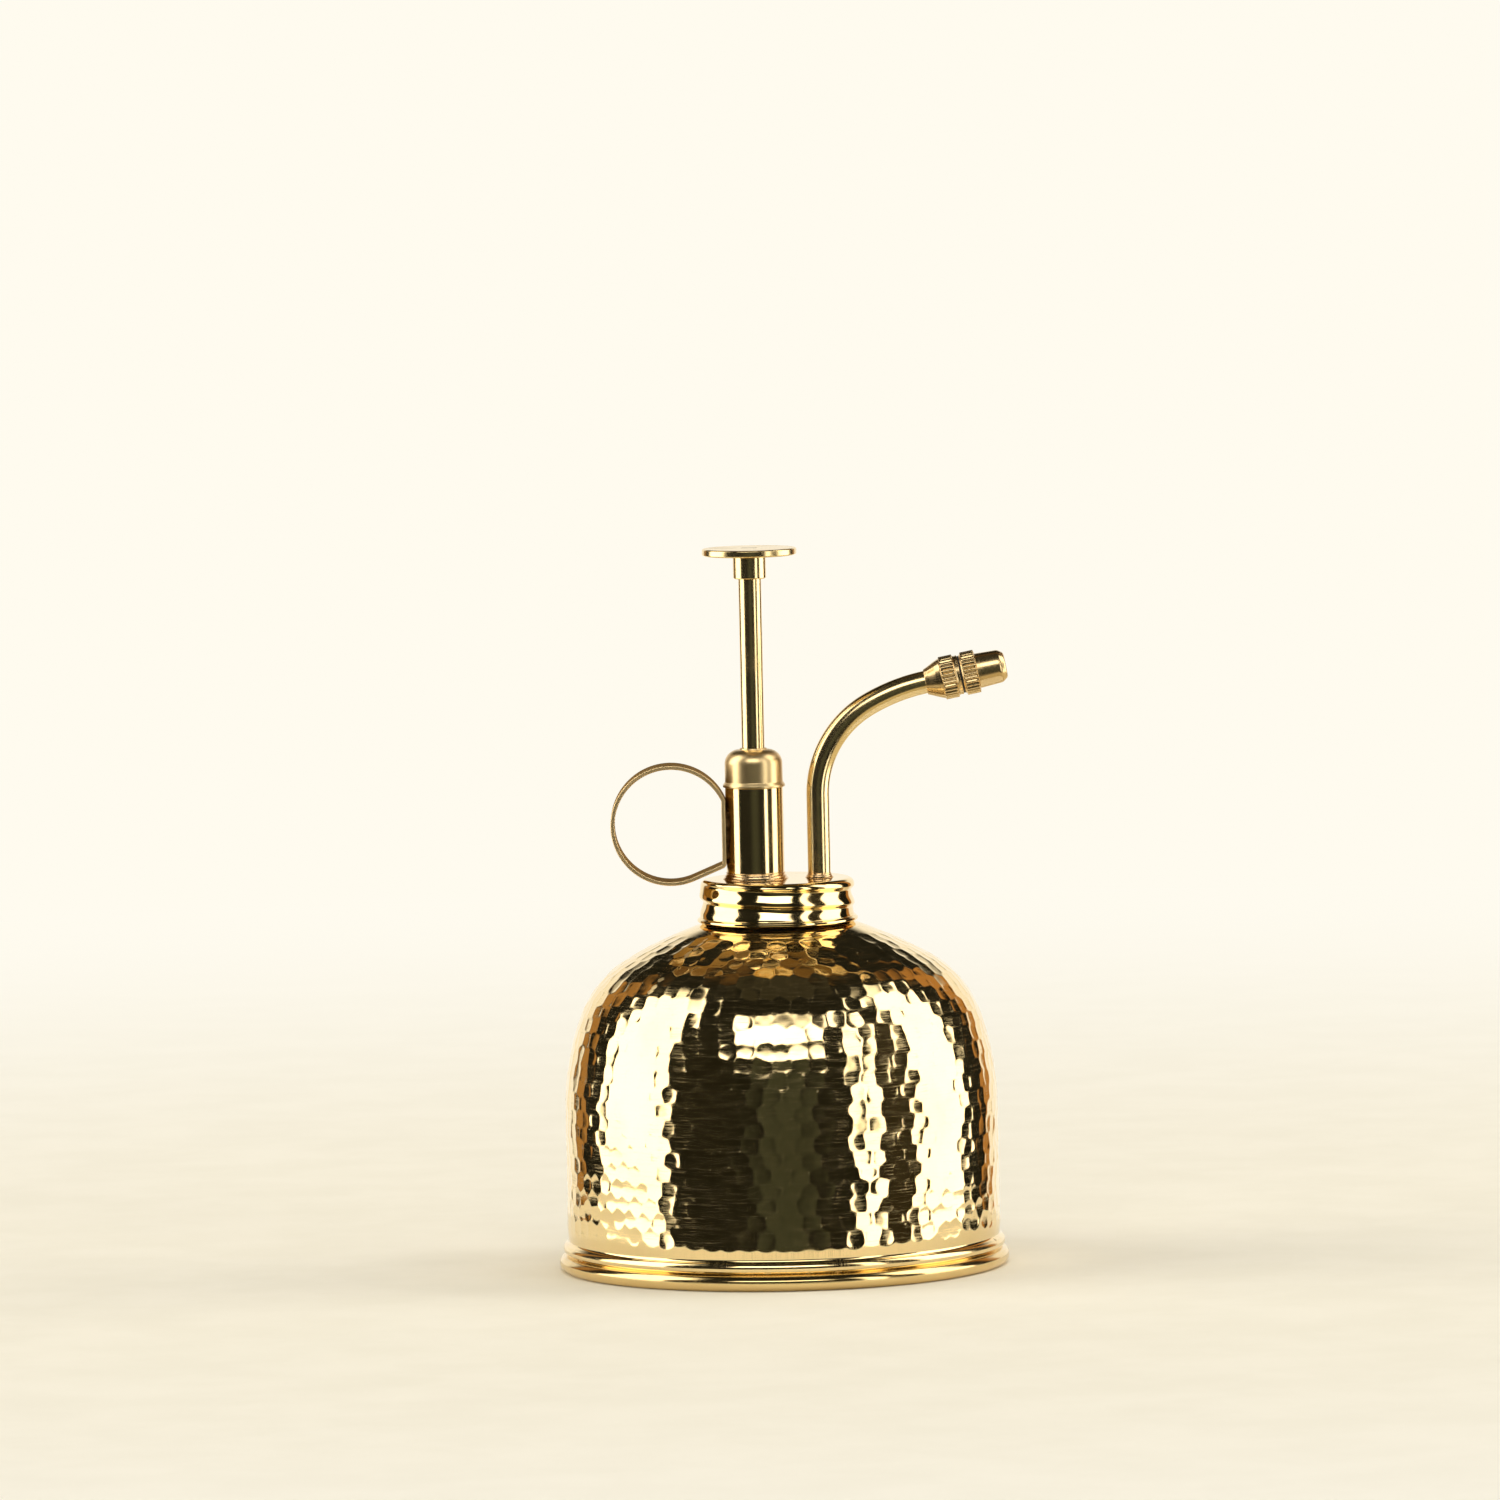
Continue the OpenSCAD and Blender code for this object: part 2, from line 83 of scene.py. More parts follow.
AT_BODY = Matrix.Identity(4)
AT_PUMP = Matrix.Translation((PUMP_X * MM, 0, 0))
AT_SPOUT = Matrix.Translation((SPOUT_X * MM, 0, 0))
AT_NOZZLE = (
    Matrix.Translation(NOZZLE_AT * MM)
    @ NOZZLE_AXIS.to_track_quat("Z", "Y").to_matrix().to_4x4()
)


# ---------------------------------------------------------------- materials


class Nodes:
    """Short calls for building a node tree: each returns the socket that carries its result."""

    def __init__(self, tree):
        self.tree = tree

    def node(self, kind, **settings):
        made = self.tree.nodes.new(kind)
        for name, value in settings.items():
            setattr(made, name, value)
        return made

    def plug(self, value, socket):
        if isinstance(value, bpy.types.NodeSocket):
            self.tree.links.new(value, socket)
        else:
            socket.default_value = value

    def math(self, operation, *values):
        made = self.node("ShaderNodeMath", operation=operation)
        for value, socket in zip(values, made.inputs):
            self.plug(value, socket)
        return made.outputs[0]

    def length(self, x, y):
        squares = [self.math("MULTIPLY", value, value) for value in (x, y)]
        return self.math("SQRT", self.math("ADD", *squares))

    def span(self, value, from_low, from_high, to_low=0.0, to_high=1.0, smooth=True):
        made = self.node("ShaderNodeMapRange")
        made.interpolation_type = "SMOOTHSTEP" if smooth else "LINEAR"
        for item, socket in zip((value, from_low, from_high, to_low, to_high), made.inputs):
            self.plug(item, socket)
        return made.outputs[0]

    def vector(self, x, y, z):
        made = self.node("ShaderNodeCombineXYZ")
        for value, socket in zip((x, y, z), made.inputs):
            self.plug(value, socket)
        return made.outputs[0]

    def split(self, vector):
        made = self.node("ShaderNodeSeparateXYZ")
        self.plug(vector, made.inputs[0])
        return made.outputs[0], made.outputs[1], made.outputs[2]

    def noise(self, vector, scale, detail=3.0, rough=0.55):
        made = self.node("ShaderNodeTexNoise")
        self.plug(vector, made.inputs["Vector"])
        made.inputs["Scale"].default_value = scale
        made.inputs["Detail"].default_value = detail
        made.inputs["Roughness"].default_value = rough
        return made.outputs[0]

    def blend(self, factor, first, second, kind="MIX"):
        made = self.node("ShaderNodeMix", data_type="RGBA", blend_type=kind)
        self.plug(factor, made.inputs[0])
        self.plug(first, made.inputs[6])
        self.plug(second, made.inputs[7])
        return made.outputs[2]

    def bump(self, height, distance, strength=1.0, normal=None):
        made = self.node("ShaderNodeBump")
        made.inputs["Strength"].default_value = strength
        made.inputs["Distance"].default_value = distance
        self.plug(height, made.inputs["Height"])
        if normal is not None:
            self.plug(normal, made.inputs["Normal"])
        return made.outputs[0]


def new_material(name):
    material = bpy.data.materials.new(name)
    material.use_nodes = True
    shader = material.node_tree.nodes["Principled BSDF"]
    return material, Nodes(material.node_tree), shader


def round_coordinates(nodes):
    """Where a point lies round its piece's axis, as (direction x, direction y, radius, height)."""
    x, y, z = nodes.split(nodes.node("ShaderNodeTexCoord").outputs["Object"])
    radius = nodes.length(x, y)
    safe = nodes.math("MAXIMUM", radius, 0.00005)
    return nodes.math("DIVIDE", x, safe), nodes.math("DIVIDE", y, safe), radius, z


# Dark brown painted into concave hollows as painted shade.
HOLLOW_SHADE = (0.17, 0.10, 0.04, 1)
# Bright gold for the strip's edges, a painted highlight.
EDGE_HIGHLIGHT = (0.95, 0.72, 0.40, 1)
STRIP_SHEEN = (0.40, 0.27, 0.12, 1)


def brass(
    name, colour, stain, rough, grain, grain_depth, around=0.6, wear=0.35, hollow_shade=False, rolled=False
):
    """Brass with fine lines that run round the piece's axis, faint blotches, and a little handling wear.

    rough is (smoothest, roughest), grain is the lines' pitch and grain_depth their depth in mm, around is
    how fast a line changes as it goes round, wear is how much of the stain shows, and the flag after wear
    paints shade into the hollows, darkening them towards dark brown. A rolled strip has lines along its
    length instead, and a painted highlight on its edges at both ends of Y."""
    material, nodes, shader = new_material(name)
    along_x, along_y, radius, height = round_coordinates(nodes)
    place = nodes.node("ShaderNodeTexCoord").outputs["Object"]
    profile = nodes.math("ADD", height, nodes.math("MULTIPLY", radius, 1.31))
    lines_at = nodes.vector(
        nodes.math("MULTIPLY", along_x, around),
        nodes.math("MULTIPLY", along_y, around),
        nodes.math("MULTIPLY", profile, 1 / (grain * MM)),
    )
    if rolled:
        x, y, z = nodes.split(place)
        lines_at = nodes.vector(
            nodes.math("MULTIPLY", x, 50.0),
            nodes.math("MULTIPLY", y, 1 / (grain * MM)),
            nodes.math("MULTIPLY", z, 50.0),
        )
    lines = nodes.noise(lines_at, 1.0, 4.0, 0.7)
    blotches = nodes.noise(place, 90.0, 4.0, 0.6)
    specks = nodes.noise(place, 2600.0, 2.0, 0.5)
    dull = nodes.span(blotches, 0.42, 0.75)
    shader.inputs["Metallic"].default_value = 1.0
    tint = nodes.blend(nodes.math("MULTIPLY", dull, wear), (*colour, 1), (*stain, 1))
    shade = nodes.blend(nodes.span(lines, 0.3, 0.7, 0.0, 0.16), tint, (*stain, 1))
    # Painted highlight: the rolled strip's edges at both ends of Y are coloured bright gold.
    if rolled:
        rub_marks_and_edge_highlight = nodes.span(nodes.math("ABSOLUTE", y), 4.1 * MM, 4.45 * MM)
        shade = nodes.blend(rub_marks_and_edge_highlight, shade, EDGE_HIGHLIGHT)
        shader.inputs["Specular Tint"].default_value = STRIP_SHEEN
    # Painted shade: where the surface curves inward, the colour is blended towards dark brown.
    if hollow_shade:
        bend = nodes.node("ShaderNodeNewGeometry").outputs["Pointiness"]
        shade = nodes.blend(nodes.span(bend, 0.50, 0.44), shade, HOLLOW_SHADE)
    nodes.plug(shade, shader.inputs["Base Color"])
    gloss = nodes.math("ADD", nodes.math("MULTIPLY", lines, 0.6), nodes.math("MULTIPLY", dull, 0.4))
    nodes.plug(nodes.span(gloss, 0.2, 0.8, rough[0], rough[1]), shader.inputs["Roughness"])
    relief = nodes.bump(lines, grain_depth * MM)
    nodes.plug(nodes.bump(specks, grain_depth * 0.35 * MM, 0.6, relief), shader.inputs["Normal"])
    return material


BRASS = (0.93, 0.735, 0.40)
BRASS_DEEP = (0.82, 0.59, 0.27)
BRASS_DULL = (0.60, 0.42, 0.19)

polished = brass("polished_brass", BRASS, BRASS_DEEP, (0.06, 0.14), 0.16, 0.00035)
# A darker copy of the brass for the base's bead, painted shade for the foot near the floor and for brass
# reflected in brass.
shaded_bead_brass = brass("bead_brass_painted_shade", (0.84, 0.64, 0.31), BRASS_DEEP, (0.12, 0.26), 0.2, 0.0006)
drawn = brass("drawn_brass", BRASS, BRASS_DEEP, (0.17, 0.29), 0.22, 0.0006, around=4.0)
barrel_tube = brass("barrel_brass", BRASS, BRASS_DEEP, (0.11, 0.21), 0.2, 0.0005)
satin = brass("satin_brass", (0.90, 0.69, 0.38), BRASS_DEEP, (0.32, 0.48), 0.11, 0.0013, around=0.25)
# The rolled strip, with a painted highlight along both edges.
strip = brass(
    "strip_brass", (0.50, 0.34, 0.14), (0.36, 0.23, 0.09), (0.42, 0.56), 0.25, 0.0004, wear=0.5, rolled=True
)
plain = brass("plain_brass", (0.84, 0.63, 0.32), BRASS_DULL, (0.16, 0.34), 0.3, 0.0016, wear=0.7)
# Knurled brass, with painted shade in the valleys between its teeth.
knurled = brass(
    "knurled_brass", (0.84, 0.63, 0.34), BRASS_DULL, (0.22, 0.36), 0.13, 0.0006, wear=0.4, hollow_shade=True
)


def hammered_brass():
    """Polished sheet with level brush lines, and upright lines in the plain band at the foot."""
    material, nodes, shader = new_material("hammered_brass")
    along_x, along_y, radius, height = round_coordinates(nodes)
    place = nodes.node("ShaderNodeTexCoord").outputs["Object"]
    level = nodes.vector(
        nodes.math("MULTIPLY", along_x, 7.0),
        nodes.math("MULTIPLY", along_y, 7.0),
        nodes.math("MULTIPLY", nodes.math("SUBTRACT", height, radius), 3300.0),
    )
    upright = nodes.vector(
        nodes.math("MULTIPLY", along_x, 210.0),
        nodes.math("MULTIPLY", along_y, 210.0),
        nodes.math("MULTIPLY", height, 90.0),
    )
    brushed = nodes.noise(level, 1.0, 4.0, 0.68)
    rub_marks_and_edge_highlight = nodes.noise(upright, 1.0, 3.0, 0.6)
    in_band = nodes.span(height, 9.6 * MM, 8.4 * MM)
    lines = nodes.math(
        "ADD",
        nodes.math("MULTIPLY", brushed, nodes.math("SUBTRACT", 1.0, in_band)),
        nodes.math("MULTIPLY", rub_marks_and_edge_highlight, in_band),
    )
    patches = nodes.noise(place, 55.0, 3.0, 0.6)
    pits = nodes.noise(place, 1500.0, 3.0, 0.6)
    pitted = nodes.span(pits, 0.66, 0.76)
    tint = nodes.blend(nodes.span(patches, 0.4, 0.75, 0.0, 0.3), (*BRASS, 1), (*BRASS_DEEP, 1))
    shade = nodes.blend(nodes.math("MULTIPLY", pitted, 0.25), tint, (*BRASS_DULL, 1))
    nodes.plug(shade, shader.inputs["Base Color"])

    # Sharp between the brush lines, duller along them, and rubbed dull on the crests between the marks
    uneven = nodes.math("ADD", nodes.math("MULTIPLY", lines, 0.85), nodes.math("MULTIPLY", patches, 0.15))
    sheen = nodes.span(uneven, 0.42, 0.70, 0.05, 0.20)
    crest = nodes.span(nodes.node("ShaderNodeNewGeometry").outputs["Pointiness"], 0.504, 0.522)
    nodes.plug(nodes.math("ADD", sheen, nodes.math("MULTIPLY", crest, 0.3)), shader.inputs["Roughness"])
    film = nodes.math("ADD", nodes.math("MULTIPLY", crest, 0.05), nodes.span(lines, 0.45, 0.75, 0.0, 0.03))
    nodes.plug(nodes.math("SUBTRACT", 1.0, film), shader.inputs["Metallic"])
    relief = nodes.bump(lines, 0.0005 * MM)
    nodes.plug(nodes.bump(pits, 0.0006 * MM, 0.5, relief), shader.inputs["Normal"])
    return material


def rough_metal(name, colour, dark, rough, lumps):
    """Solder or steel: uneven, with small lumps."""
    material, nodes, shader = new_material(name)
    place = nodes.node("ShaderNodeTexCoord").outputs["Object"]
    broad = nodes.noise(place, 700.0, 3.0, 0.6)
    fine = nodes.noise(place, 3600.0, 3.0, 0.6)
    shader.inputs["Metallic"].default_value = 1.0
    shade = nodes.blend(nodes.span(broad, 0.35, 0.7), (*colour, 1), (*dark, 1))
    nodes.plug(shade, shader.inputs["Base Color"])
    nodes.plug(nodes.span(fine, 0.3, 0.7, rough[0], rough[1]), shader.inputs["Roughness"])
    relief = nodes.bump(broad, lumps * MM)
    nodes.plug(nodes.bump(fine, lumps * 0.3 * MM, 0.7, relief), shader.inputs["Normal"])
    return material


def soft_material(name, colour, worn, rough, grain):
    """Rubber or plastic, with a fine moulded grain and faint marks."""
    material, nodes, shader = new_material(name)
    place = nodes.node("ShaderNodeTexCoord").outputs["Object"]
    broad = nodes.noise(place, 260.0, 3.0, 0.6)
    fine = nodes.noise(place, grain, 3.0, 0.6)
    shader.inputs["Metallic"].default_value = 0.0
    shade = nodes.blend(nodes.span(broad, 0.4, 0.75), (*colour, 1), (*worn, 1))
    nodes.plug(shade, shader.inputs["Base Color"])
    nodes.plug(nodes.span(fine, 0.3, 0.7, rough[0], rough[1]), shader.inputs["Roughness"])
    nodes.plug(nodes.bump(fine, 0.01 * MM, 0.6), shader.inputs["Normal"])
    return material


hammered = hammered_brass()
solder = rough_metal("solder", (0.88, 0.63, 0.36), (0.74, 0.50, 0.26), (0.16, 0.3), 0.005)
# Near-black solder for the runs between the finger ring and the barrel, painted shade for the gap there.
gap_shade_solder = rough_metal("solder_with_gap_shade", (0.22, 0.14, 0.07), (0.07, 0.04, 0.02), (0.34, 0.5), 0.02)
steel = rough_metal("steel", (0.62, 0.61, 0.59), (0.5, 0.49, 0.47), (0.12, 0.25), 0.003)
rubber = soft_material("black_rubber", (0.018, 0.018, 0.018), (0.04, 0.038, 0.036), (0.5, 0.7), 5000.0)
plastic = soft_material("white_plastic", (0.78, 0.78, 0.74), (0.62, 0.60, 0.54), (0.35, 0.5), 4000.0)


# ------------------------------------------------------------------- shapes


def rounded(corners, closed=True, steps=5):
    """A smooth outline through corners (x, y, radius), with a support point beside each end of an arc.

    A radius is cut to what its two sides leave room for."""
    out = []
    last = len(corners) - 1
    for i, (x, y, radius) in enumerate(corners):
        here = np.array((x, y), float)
        if radius == 0 or (not closed and i in (0, last)):
            out.append(here)
            continue
        back = np.array(corners[i - 1][:2]) - here
        on = np.array(corners[(i + 1) % len(corners)][:2]) - here
        room = min(np.linalg.norm(back), np.linalg.norm(on))
        back, on = back / np.linalg.norm(back), on / np.linalg.norm(on)
        half = math.acos(np.clip(back @ on, -1, 1)) / 2
        reach = min(radius / math.tan(half), 0.42 * room)
        true_r = reach * math.tan(half)
        inward = (back + on) / np.linalg.norm(back + on)
        centre = here + inward * true_r / math.sin(half)
        first, final = here + back * reach - centre, here + on * reach - centre
        whole = math.acos(np.clip(first @ final / true_r**2, -1, 1))
        support = min(0.35 * reach, 0.06 * room)
        out.append(here + back * (reach + support))
        for k in range(steps + 1):
            t = k / steps
            swung = math.sin((1 - t) * whole) * first + math.sin(t * whole) * final
            out.append(centre + swung / math.sin(whole))
        out.append(here + on * (reach + support))
    return np.array(out)


def arc(centre, radius, start, end, steps):
    """Points on an arc, from one angle to the other, in degrees."""
    turn = np.radians(np.linspace(start, end, steps + 1))
    return np.stack([centre[0] + radius * np.cos(turn), centre[1] + radius * np.sin(turn)], -1)


def resample(points, pitch):
    """The same line with points every pitch mm, and its own corners given up."""
    reach = np.concatenate([[0], np.cumsum(np.linalg.norm(np.diff(points, axis=0), axis=1))])
    at = np.linspace(0, reach[-1], max(2, round(reach[-1] / pitch) + 1))
    return np.stack([np.interp(at, reach, points[:, k]) for k in (0, 1)], -1)


def around(outline, steps):
    """An outline (radius, height) turned round the axis: a grid of points, one row for each outline point."""
    turn = np.arange(steps) * TAU / steps
    r, z = outline[:, :1], outline[:, 1:]
    return np.stack([r * np.cos(turn), r * np.sin(turn), z + 0 * turn], -1)


def surface(name, grid, material, place=AT_BODY, closed=True, ends=False, poles=False):
    """A smooth-shaded mesh over a grid of points (rows, columns, 3) in mm.

    The columns close on themselves, and so do the rows if closed. ends puts a cap on the first and last
    row, and poles joins the points that lie together on the axis."""
    rows, columns = grid.shape[:2]
    i = np.arange(rows if closed else rows - 1)[:, None]
    j = np.arange(columns)[None, :]
    up, next_j = (i + 1) % rows, (j + 1) % columns
    quads = np.stack(
        [i * columns + j, i * columns + next_j, up * columns + next_j, up * columns + j], -1
    ).reshape(-1, 4)
    faces = quads.tolist()
    if ends:
        faces.append(list(range(columns - 1, -1, -1)))
        faces.append([(rows - 1) * columns + k for k in range(columns)])
    mesh = bpy.data.meshes.new(name)
    mesh.from_pydata((grid.reshape(-1, 3) * MM).tolist(), [], faces)
    shape = bmesh.new()
    shape.from_mesh(mesh)
    if poles:
        bmesh.ops.remove_doubles(shape, verts=shape.verts, dist=1e-7)
    bmesh.ops.recalc_face_normals(shape, faces=shape.faces)
    shape.to_mesh(mesh)
    shape.free()
    mesh.polygons.foreach_set("use_smooth", [True] * len(mesh.polygons))
    mesh.materials.append(material)
    mesh.update()
    piece = bpy.data.objects.new(name, mesh)
    scene.collection.objects.link(piece)
    piece.matrix_world = place
    return piece


def finish(piece, node, body):
    """The piece stands for its CAD node, which is hidden, and rides on that body."""
    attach(piece, body)
    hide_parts(node)
    return piece


def lathe(name, outline, material, place=AT_BODY, steps=128):
    """A turned piece: a closed outline, or one that starts and ends on the axis."""
    on_axis = outline[0, 0] == 0
    return surface(name, around(outline, steps), material, place, closed=not on_axis, poles=on_axis)


def cut(piece, radius, place, half_length):
    """A round hole through a piece, along the Z axis of place."""
    rod = np.array([[0, -half_length], [radius, -half_length], [radius, half_length], [0, half_length]])
    cutter = lathe("cutter", rod, piece.data.materials[0], place, steps=72)
    hole = piece.modifiers.new("hole", "BOOLEAN")
    hole.operation, hole.solver, hole.object = "DIFFERENCE", "EXACT", cutter
    bpy.context.view_layer.update()
    depsgraph = bpy.context.evaluated_depsgraph_get()
    opened = bpy.data.meshes.new_from_object(piece.evaluated_get(depsgraph))
    piece.modifiers.clear()
    piece.data = opened
    bpy.data.objects.remove(cutter)
    opened.set_sharp_from_angle(angle=math.radians(35))


def sweep(path, section, closed=False):
    """The grid of a section (sideways, outwards) moved along a path in the XZ plane; sideways is +Y."""
    forward = np.gradient(path, axis=0)
    if closed:
        forward = np.roll(path, -1, axis=0) - np.roll(path, 1, axis=0)
    forward /= np.linalg.norm(forward, axis=1)[:, None]
    outward = np.stack([forward[:, 1], -forward[:, 0]], -1)
    flat = path[:, None, :] + outward[:, None, :] * section[None, :, 1:]
    return np.stack([flat[..., 0], np.broadcast_to(section[:, 0], flat.shape[:2]), flat[..., 1]], -1)


# ---------------------------------------------------------------- reservoir

random = np.random.default_rng(20240611)

SHEET = 0.8
SIDE_R = 47.6
SIDE_H = 35.0

# The shoulder: three arcs (centre, radius) that meet at these angles, then a fillet up to the neck
ARC_1 = ((SIDE_R - 60.0, SIDE_H), 60.0)
JOIN_1, JOIN_2 = 20.0, 60.0


def next_centre(circle, radius, angle):
    """The circle of that radius which touches circle at angle, from inside."""
    reach = circle[1] - radius
    turn = math.radians(angle)
    return (circle[0][0] + reach * math.cos(turn), circle[0][1] + reach * math.sin(turn)), radius


ARC_2 = next_centre(ARC_1, 24.0, JOIN_1)
ARC_3 = next_centre(ARC_2, 90.0, JOIN_2)
FILLET_R = 1.6
FILLET_X = NECK_R + FILLET_R
fillet_turn = math.degrees(math.acos((FILLET_X - ARC_3[0][0]) / (ARC_3[1] + FILLET_R)))
FILLET_Z = ARC_3[0][1] + (ARC_3[1] + FILLET_R) * math.sin(math.radians(fillet_turn))


def shoulder(inset, last):
    """The shoulder's outline from the side to the angle last, moved in by inset."""
    return np.concatenate(
        [
            arc(ARC_1[0], ARC_1[1] - inset, 0, JOIN_1, 40),
            arc(ARC_2[0], ARC_2[1] - inset, JOIN_1, JOIN_2, 40)[1:],
            arc(ARC_3[0], ARC_3[1] - inset, JOIN_2, last, 40)[1:],
        ]
    )


def reservoir_shell():
    """The hammered reservoir: a fine grid pressed in by overlapping hammer marks, with a plain inside."""
    steps = 760
    line_pitch, inside_pitch = 0.4, 3.2
    bead_r, bead_c, bead_z = 1.35, 47.15, 4.95
    band_z = 6.35
    foot = arc((bead_c, bead_z), bead_r, -62, 58, 22)
    foot = np.concatenate([[[SIDE_R, SHEET]], [[SIDE_R, 3.45]], foot])
    tapered = [
        [47.3, band_z + 0.05], [47.33, 6.9], [47.42, 7.9], [47.53, 9.0], [47.59, 10.0], [SIDE_R, 11.0],
    ]
    side = np.concatenate([tapered, [[SIDE_R, SIDE_H]], shoulder(0, fillet_turn)[1:]])
    side = resample(side, line_pitch)
    fillet = arc((FILLET_X, FILLET_Z), FILLET_R, 180 + fillet_turn, 180, 14)[1:]
    outside = np.concatenate([foot, side, fillet])
    inside_last = math.degrees(math.acos((NECK_R - ARC_3[0][0]) / (ARC_3[1] - SHEET)))
    inside = np.concatenate([[[SIDE_R - SHEET, SHEET]], shoulder(SHEET, inside_last)])
    inside = resample(inside, inside_pitch)[::-1]

    along = np.gradient(outside, axis=0)
    along /= np.linalg.norm(along, axis=1)[:, None]
    inward = np.stack([-along[:, 1], along[:, 0]], -1)
    reach = np.concatenate([[0], np.cumsum(np.linalg.norm(np.diff(outside, axis=0), axis=1))])
    first = int(np.searchsorted(outside[:, 1][len(foot) :], 8.6)) + len(foot)
    final = int(np.argmax((outside[:, 0] < 19.0) & (outside[:, 1] > 60)))

    # Each mark is a shallow dish, and where marks overlap the deepest counts; hardness sets how sharp the
    # crests between them are
    hardness = 110.0
    pile = np.ones((len(outside), steps))
    row_at = reach[first] + 2.35
    row = 0
    row_pitch, mark_pitch = 3.42, 3.92
    spread = 1.5
    while True:
        k = int(np.searchsorted(reach, row_at))
        if k >= len(outside) or outside[k, 1] > 60 and outside[k, 0] < 21.6:
            break
        radius = outside[k, 0]
        count = max(8, round(TAU * radius / mark_pitch))
        phase = (row % 2) * 0.5 + random.uniform(-0.12, 0.12)
        for n in range(count):
            angle = (n + phase + random.normal(0, 0.09)) / count * TAU
            centre_at = row_at + random.normal(0, 0.32)
            a = random.uniform(2.12, 2.5)
            depth = 0.085 + random.normal(0, 0.018)
            lean_u, lean_v = random.normal(0, 0.013, 2)
            rows = np.nonzero(np.abs(reach - centre_at) < a * spread)[0]
            rows = rows[rows >= first - 12]
            if not len(rows):
                continue
            half = int(a * spread / (TAU * radius / steps)) + 1
            middle = int(round(angle / TAU * steps))
            columns = (middle + np.arange(-half, half + 1)) % steps
            turn = (middle + np.arange(-half, half + 1)) * TAU / steps - angle
            u = turn[None, :] * outside[rows, 0][:, None]
            v = (reach[rows] - centre_at)[:, None] + 0 * u
            d2 = (u * u + v * v) / (a * a)
            dish = -(0.045 * (1 - d2) + depth * (1 - d2 * d2)) + lean_u * u + lean_v * v
            pile[np.ix_(rows, columns)] += np.exp(-hardness * np.clip(dish, -0.6, 0.1))
        row_at += row_pitch + random.uniform(-0.06, 0.06)
        row += 1
    press = np.log(pile) / hardness
    fade = np.clip((final - np.arange(len(outside))) / 10.0, 0, 1)[:, None]
    press *= fade

    # The sheet is also a little uneven on a larger scale
    turn = np.arange(steps) * TAU / steps
    swell = 0.05 * np.sin(3 * turn + 0.6)[None, :] * np.sin(reach / 11.0)[:, None]
    swell += 0.04 * np.sin(7 * turn + 2.1)[None, :] * np.sin(reach / 6.5 + 1)[:, None]
    swell = (swell + 0.09) * np.clip((np.arange(len(outside)) - first) / 12.0, 0, 1)[:, None] * fade
    press = np.clip(press + swell, 0, 0.42)

    r = outside[:, :1] + inward[:, :1] * press
    z = outside[:, 1:] + inward[:, 1:] * press
    outer = np.stack([r * np.cos(turn), r * np.sin(turn), z], -1)
    grid = np.concatenate([outer, around(inside, steps)])
    return surface("reservoir", grid, hammered)


finish(reservoir_shell(), "reservoir_shell", "reservoir")


def base_pan():
    """The flat bottom, rolled at its edge into the bead that the mister stands on."""
    centre, radius = np.array([47.6, 1.8]), 1.8
    bead = arc(centre, radius, -90, 128, 44)
    t = np.linspace(0, 1, len(bead))
    creases = 0.05 * np.abs(np.sin(3 * TAU * t) * np.sin(math.pi * t))
    bead -= (bead - centre) / radius * creases[:, None]
    slot = rounded([(46.8, 3.4, 0), (46.75, SHEET, 0.25), (44.0, SHEET, 0)], closed=False)
    under = np.array([[0.0, 0.0], [12.0, 0.0], [30.0, 0.0], [44.0, 0.0]])
    above = np.array([[30.0, SHEET], [12.0, SHEET], [0.0, SHEET]])
    outline = np.concatenate([under, bead, slot, above])
    piece = lathe("base_pan_piece", outline, shaded_bead_brass, steps=256)
    return finish(piece, "base_pan", "reservoir")


base_pan()


def helix(turn, z, start, pitch, above, below, first_turn, last_turn):
    """How deep a groove that winds down from start lies at each point: 1 in its middle, 0 off it.

    above and below are the widths of its two flanks."""
    depth = np.zeros(np.broadcast(turn, z).shape)
    for loop in (-1, 0, 1, 2):
        wound = turn + loop * TAU
        middle = start - pitch * wound / TAU
        near = np.clip(1 - np.where(z > middle, (z - middle) / above, (middle - z) / below), 0, 1)
        fade = np.clip((wound - first_turn) / 0.6, 0, 1) * np.clip((last_turn - wound) / 1.0, 0, 1)
        fade = fade * fade * (3 - 2 * fade)
        depth = np.maximum(depth, near * near * (3 - 2 * near) * fade)
    return depth


GROOVE = dict(start=82.5, pitch=3.8, above=1.1, below=2.7, first_turn=-3.4, last_turn=6.9)


def densify(outline, pitch, wanted=lambda pair: True):
    """The outline with points every pitch mm on the sides that are wanted."""
    parts = []
    for pair in zip(outline[:-1], outline[1:]):
        pair = np.stack(pair)
        parts.append(resample(pair, pitch)[:-1] if wanted(pair) else pair[:1])
    return np.concatenate(parts)


def closed_up(outline):
    return np.concatenate([outline, outline[:1]])


def pull_in(grid, shift, turn):
    """Move the grid's points towards the axis by shift."""
    grid[..., 0] -= shift * np.cos(turn)
    grid[..., 1] -= shift * np.sin(turn)


def neck_ring():
    """The neck: a plain foot with the raised thread wound round the wall above it."""
    outline = rounded(
        [
            (14.4, 74.0, 0.15),
            (16.2, 74.0, 0.15),
            (16.2, 79.6, 0.2),
            (15.2, 79.6, 0.15),
            (15.2, 84.0, 0.25),
            (14.4, 84.0, 0.25),
        ]
    )
    dense = densify(closed_up(outline), 0.35)
    steps, thread = 192, 0.22
    grid = around(dense, steps)
    turn = np.arange(steps) * TAU / steps
    on_wall = ((dense[:, 0] > 15.19) & (dense[:, 1] > 79.8))[:, None]
    pull_in(grid, thread * (1 - helix(turn, dense[:, 1:], **GROOVE)) * on_wall, turn)
    piece = surface("neck", grid, plain)
    return finish(piece, "neck_ring", "reservoir")


neck_ring()


# --------------------------------------------------------------------- head


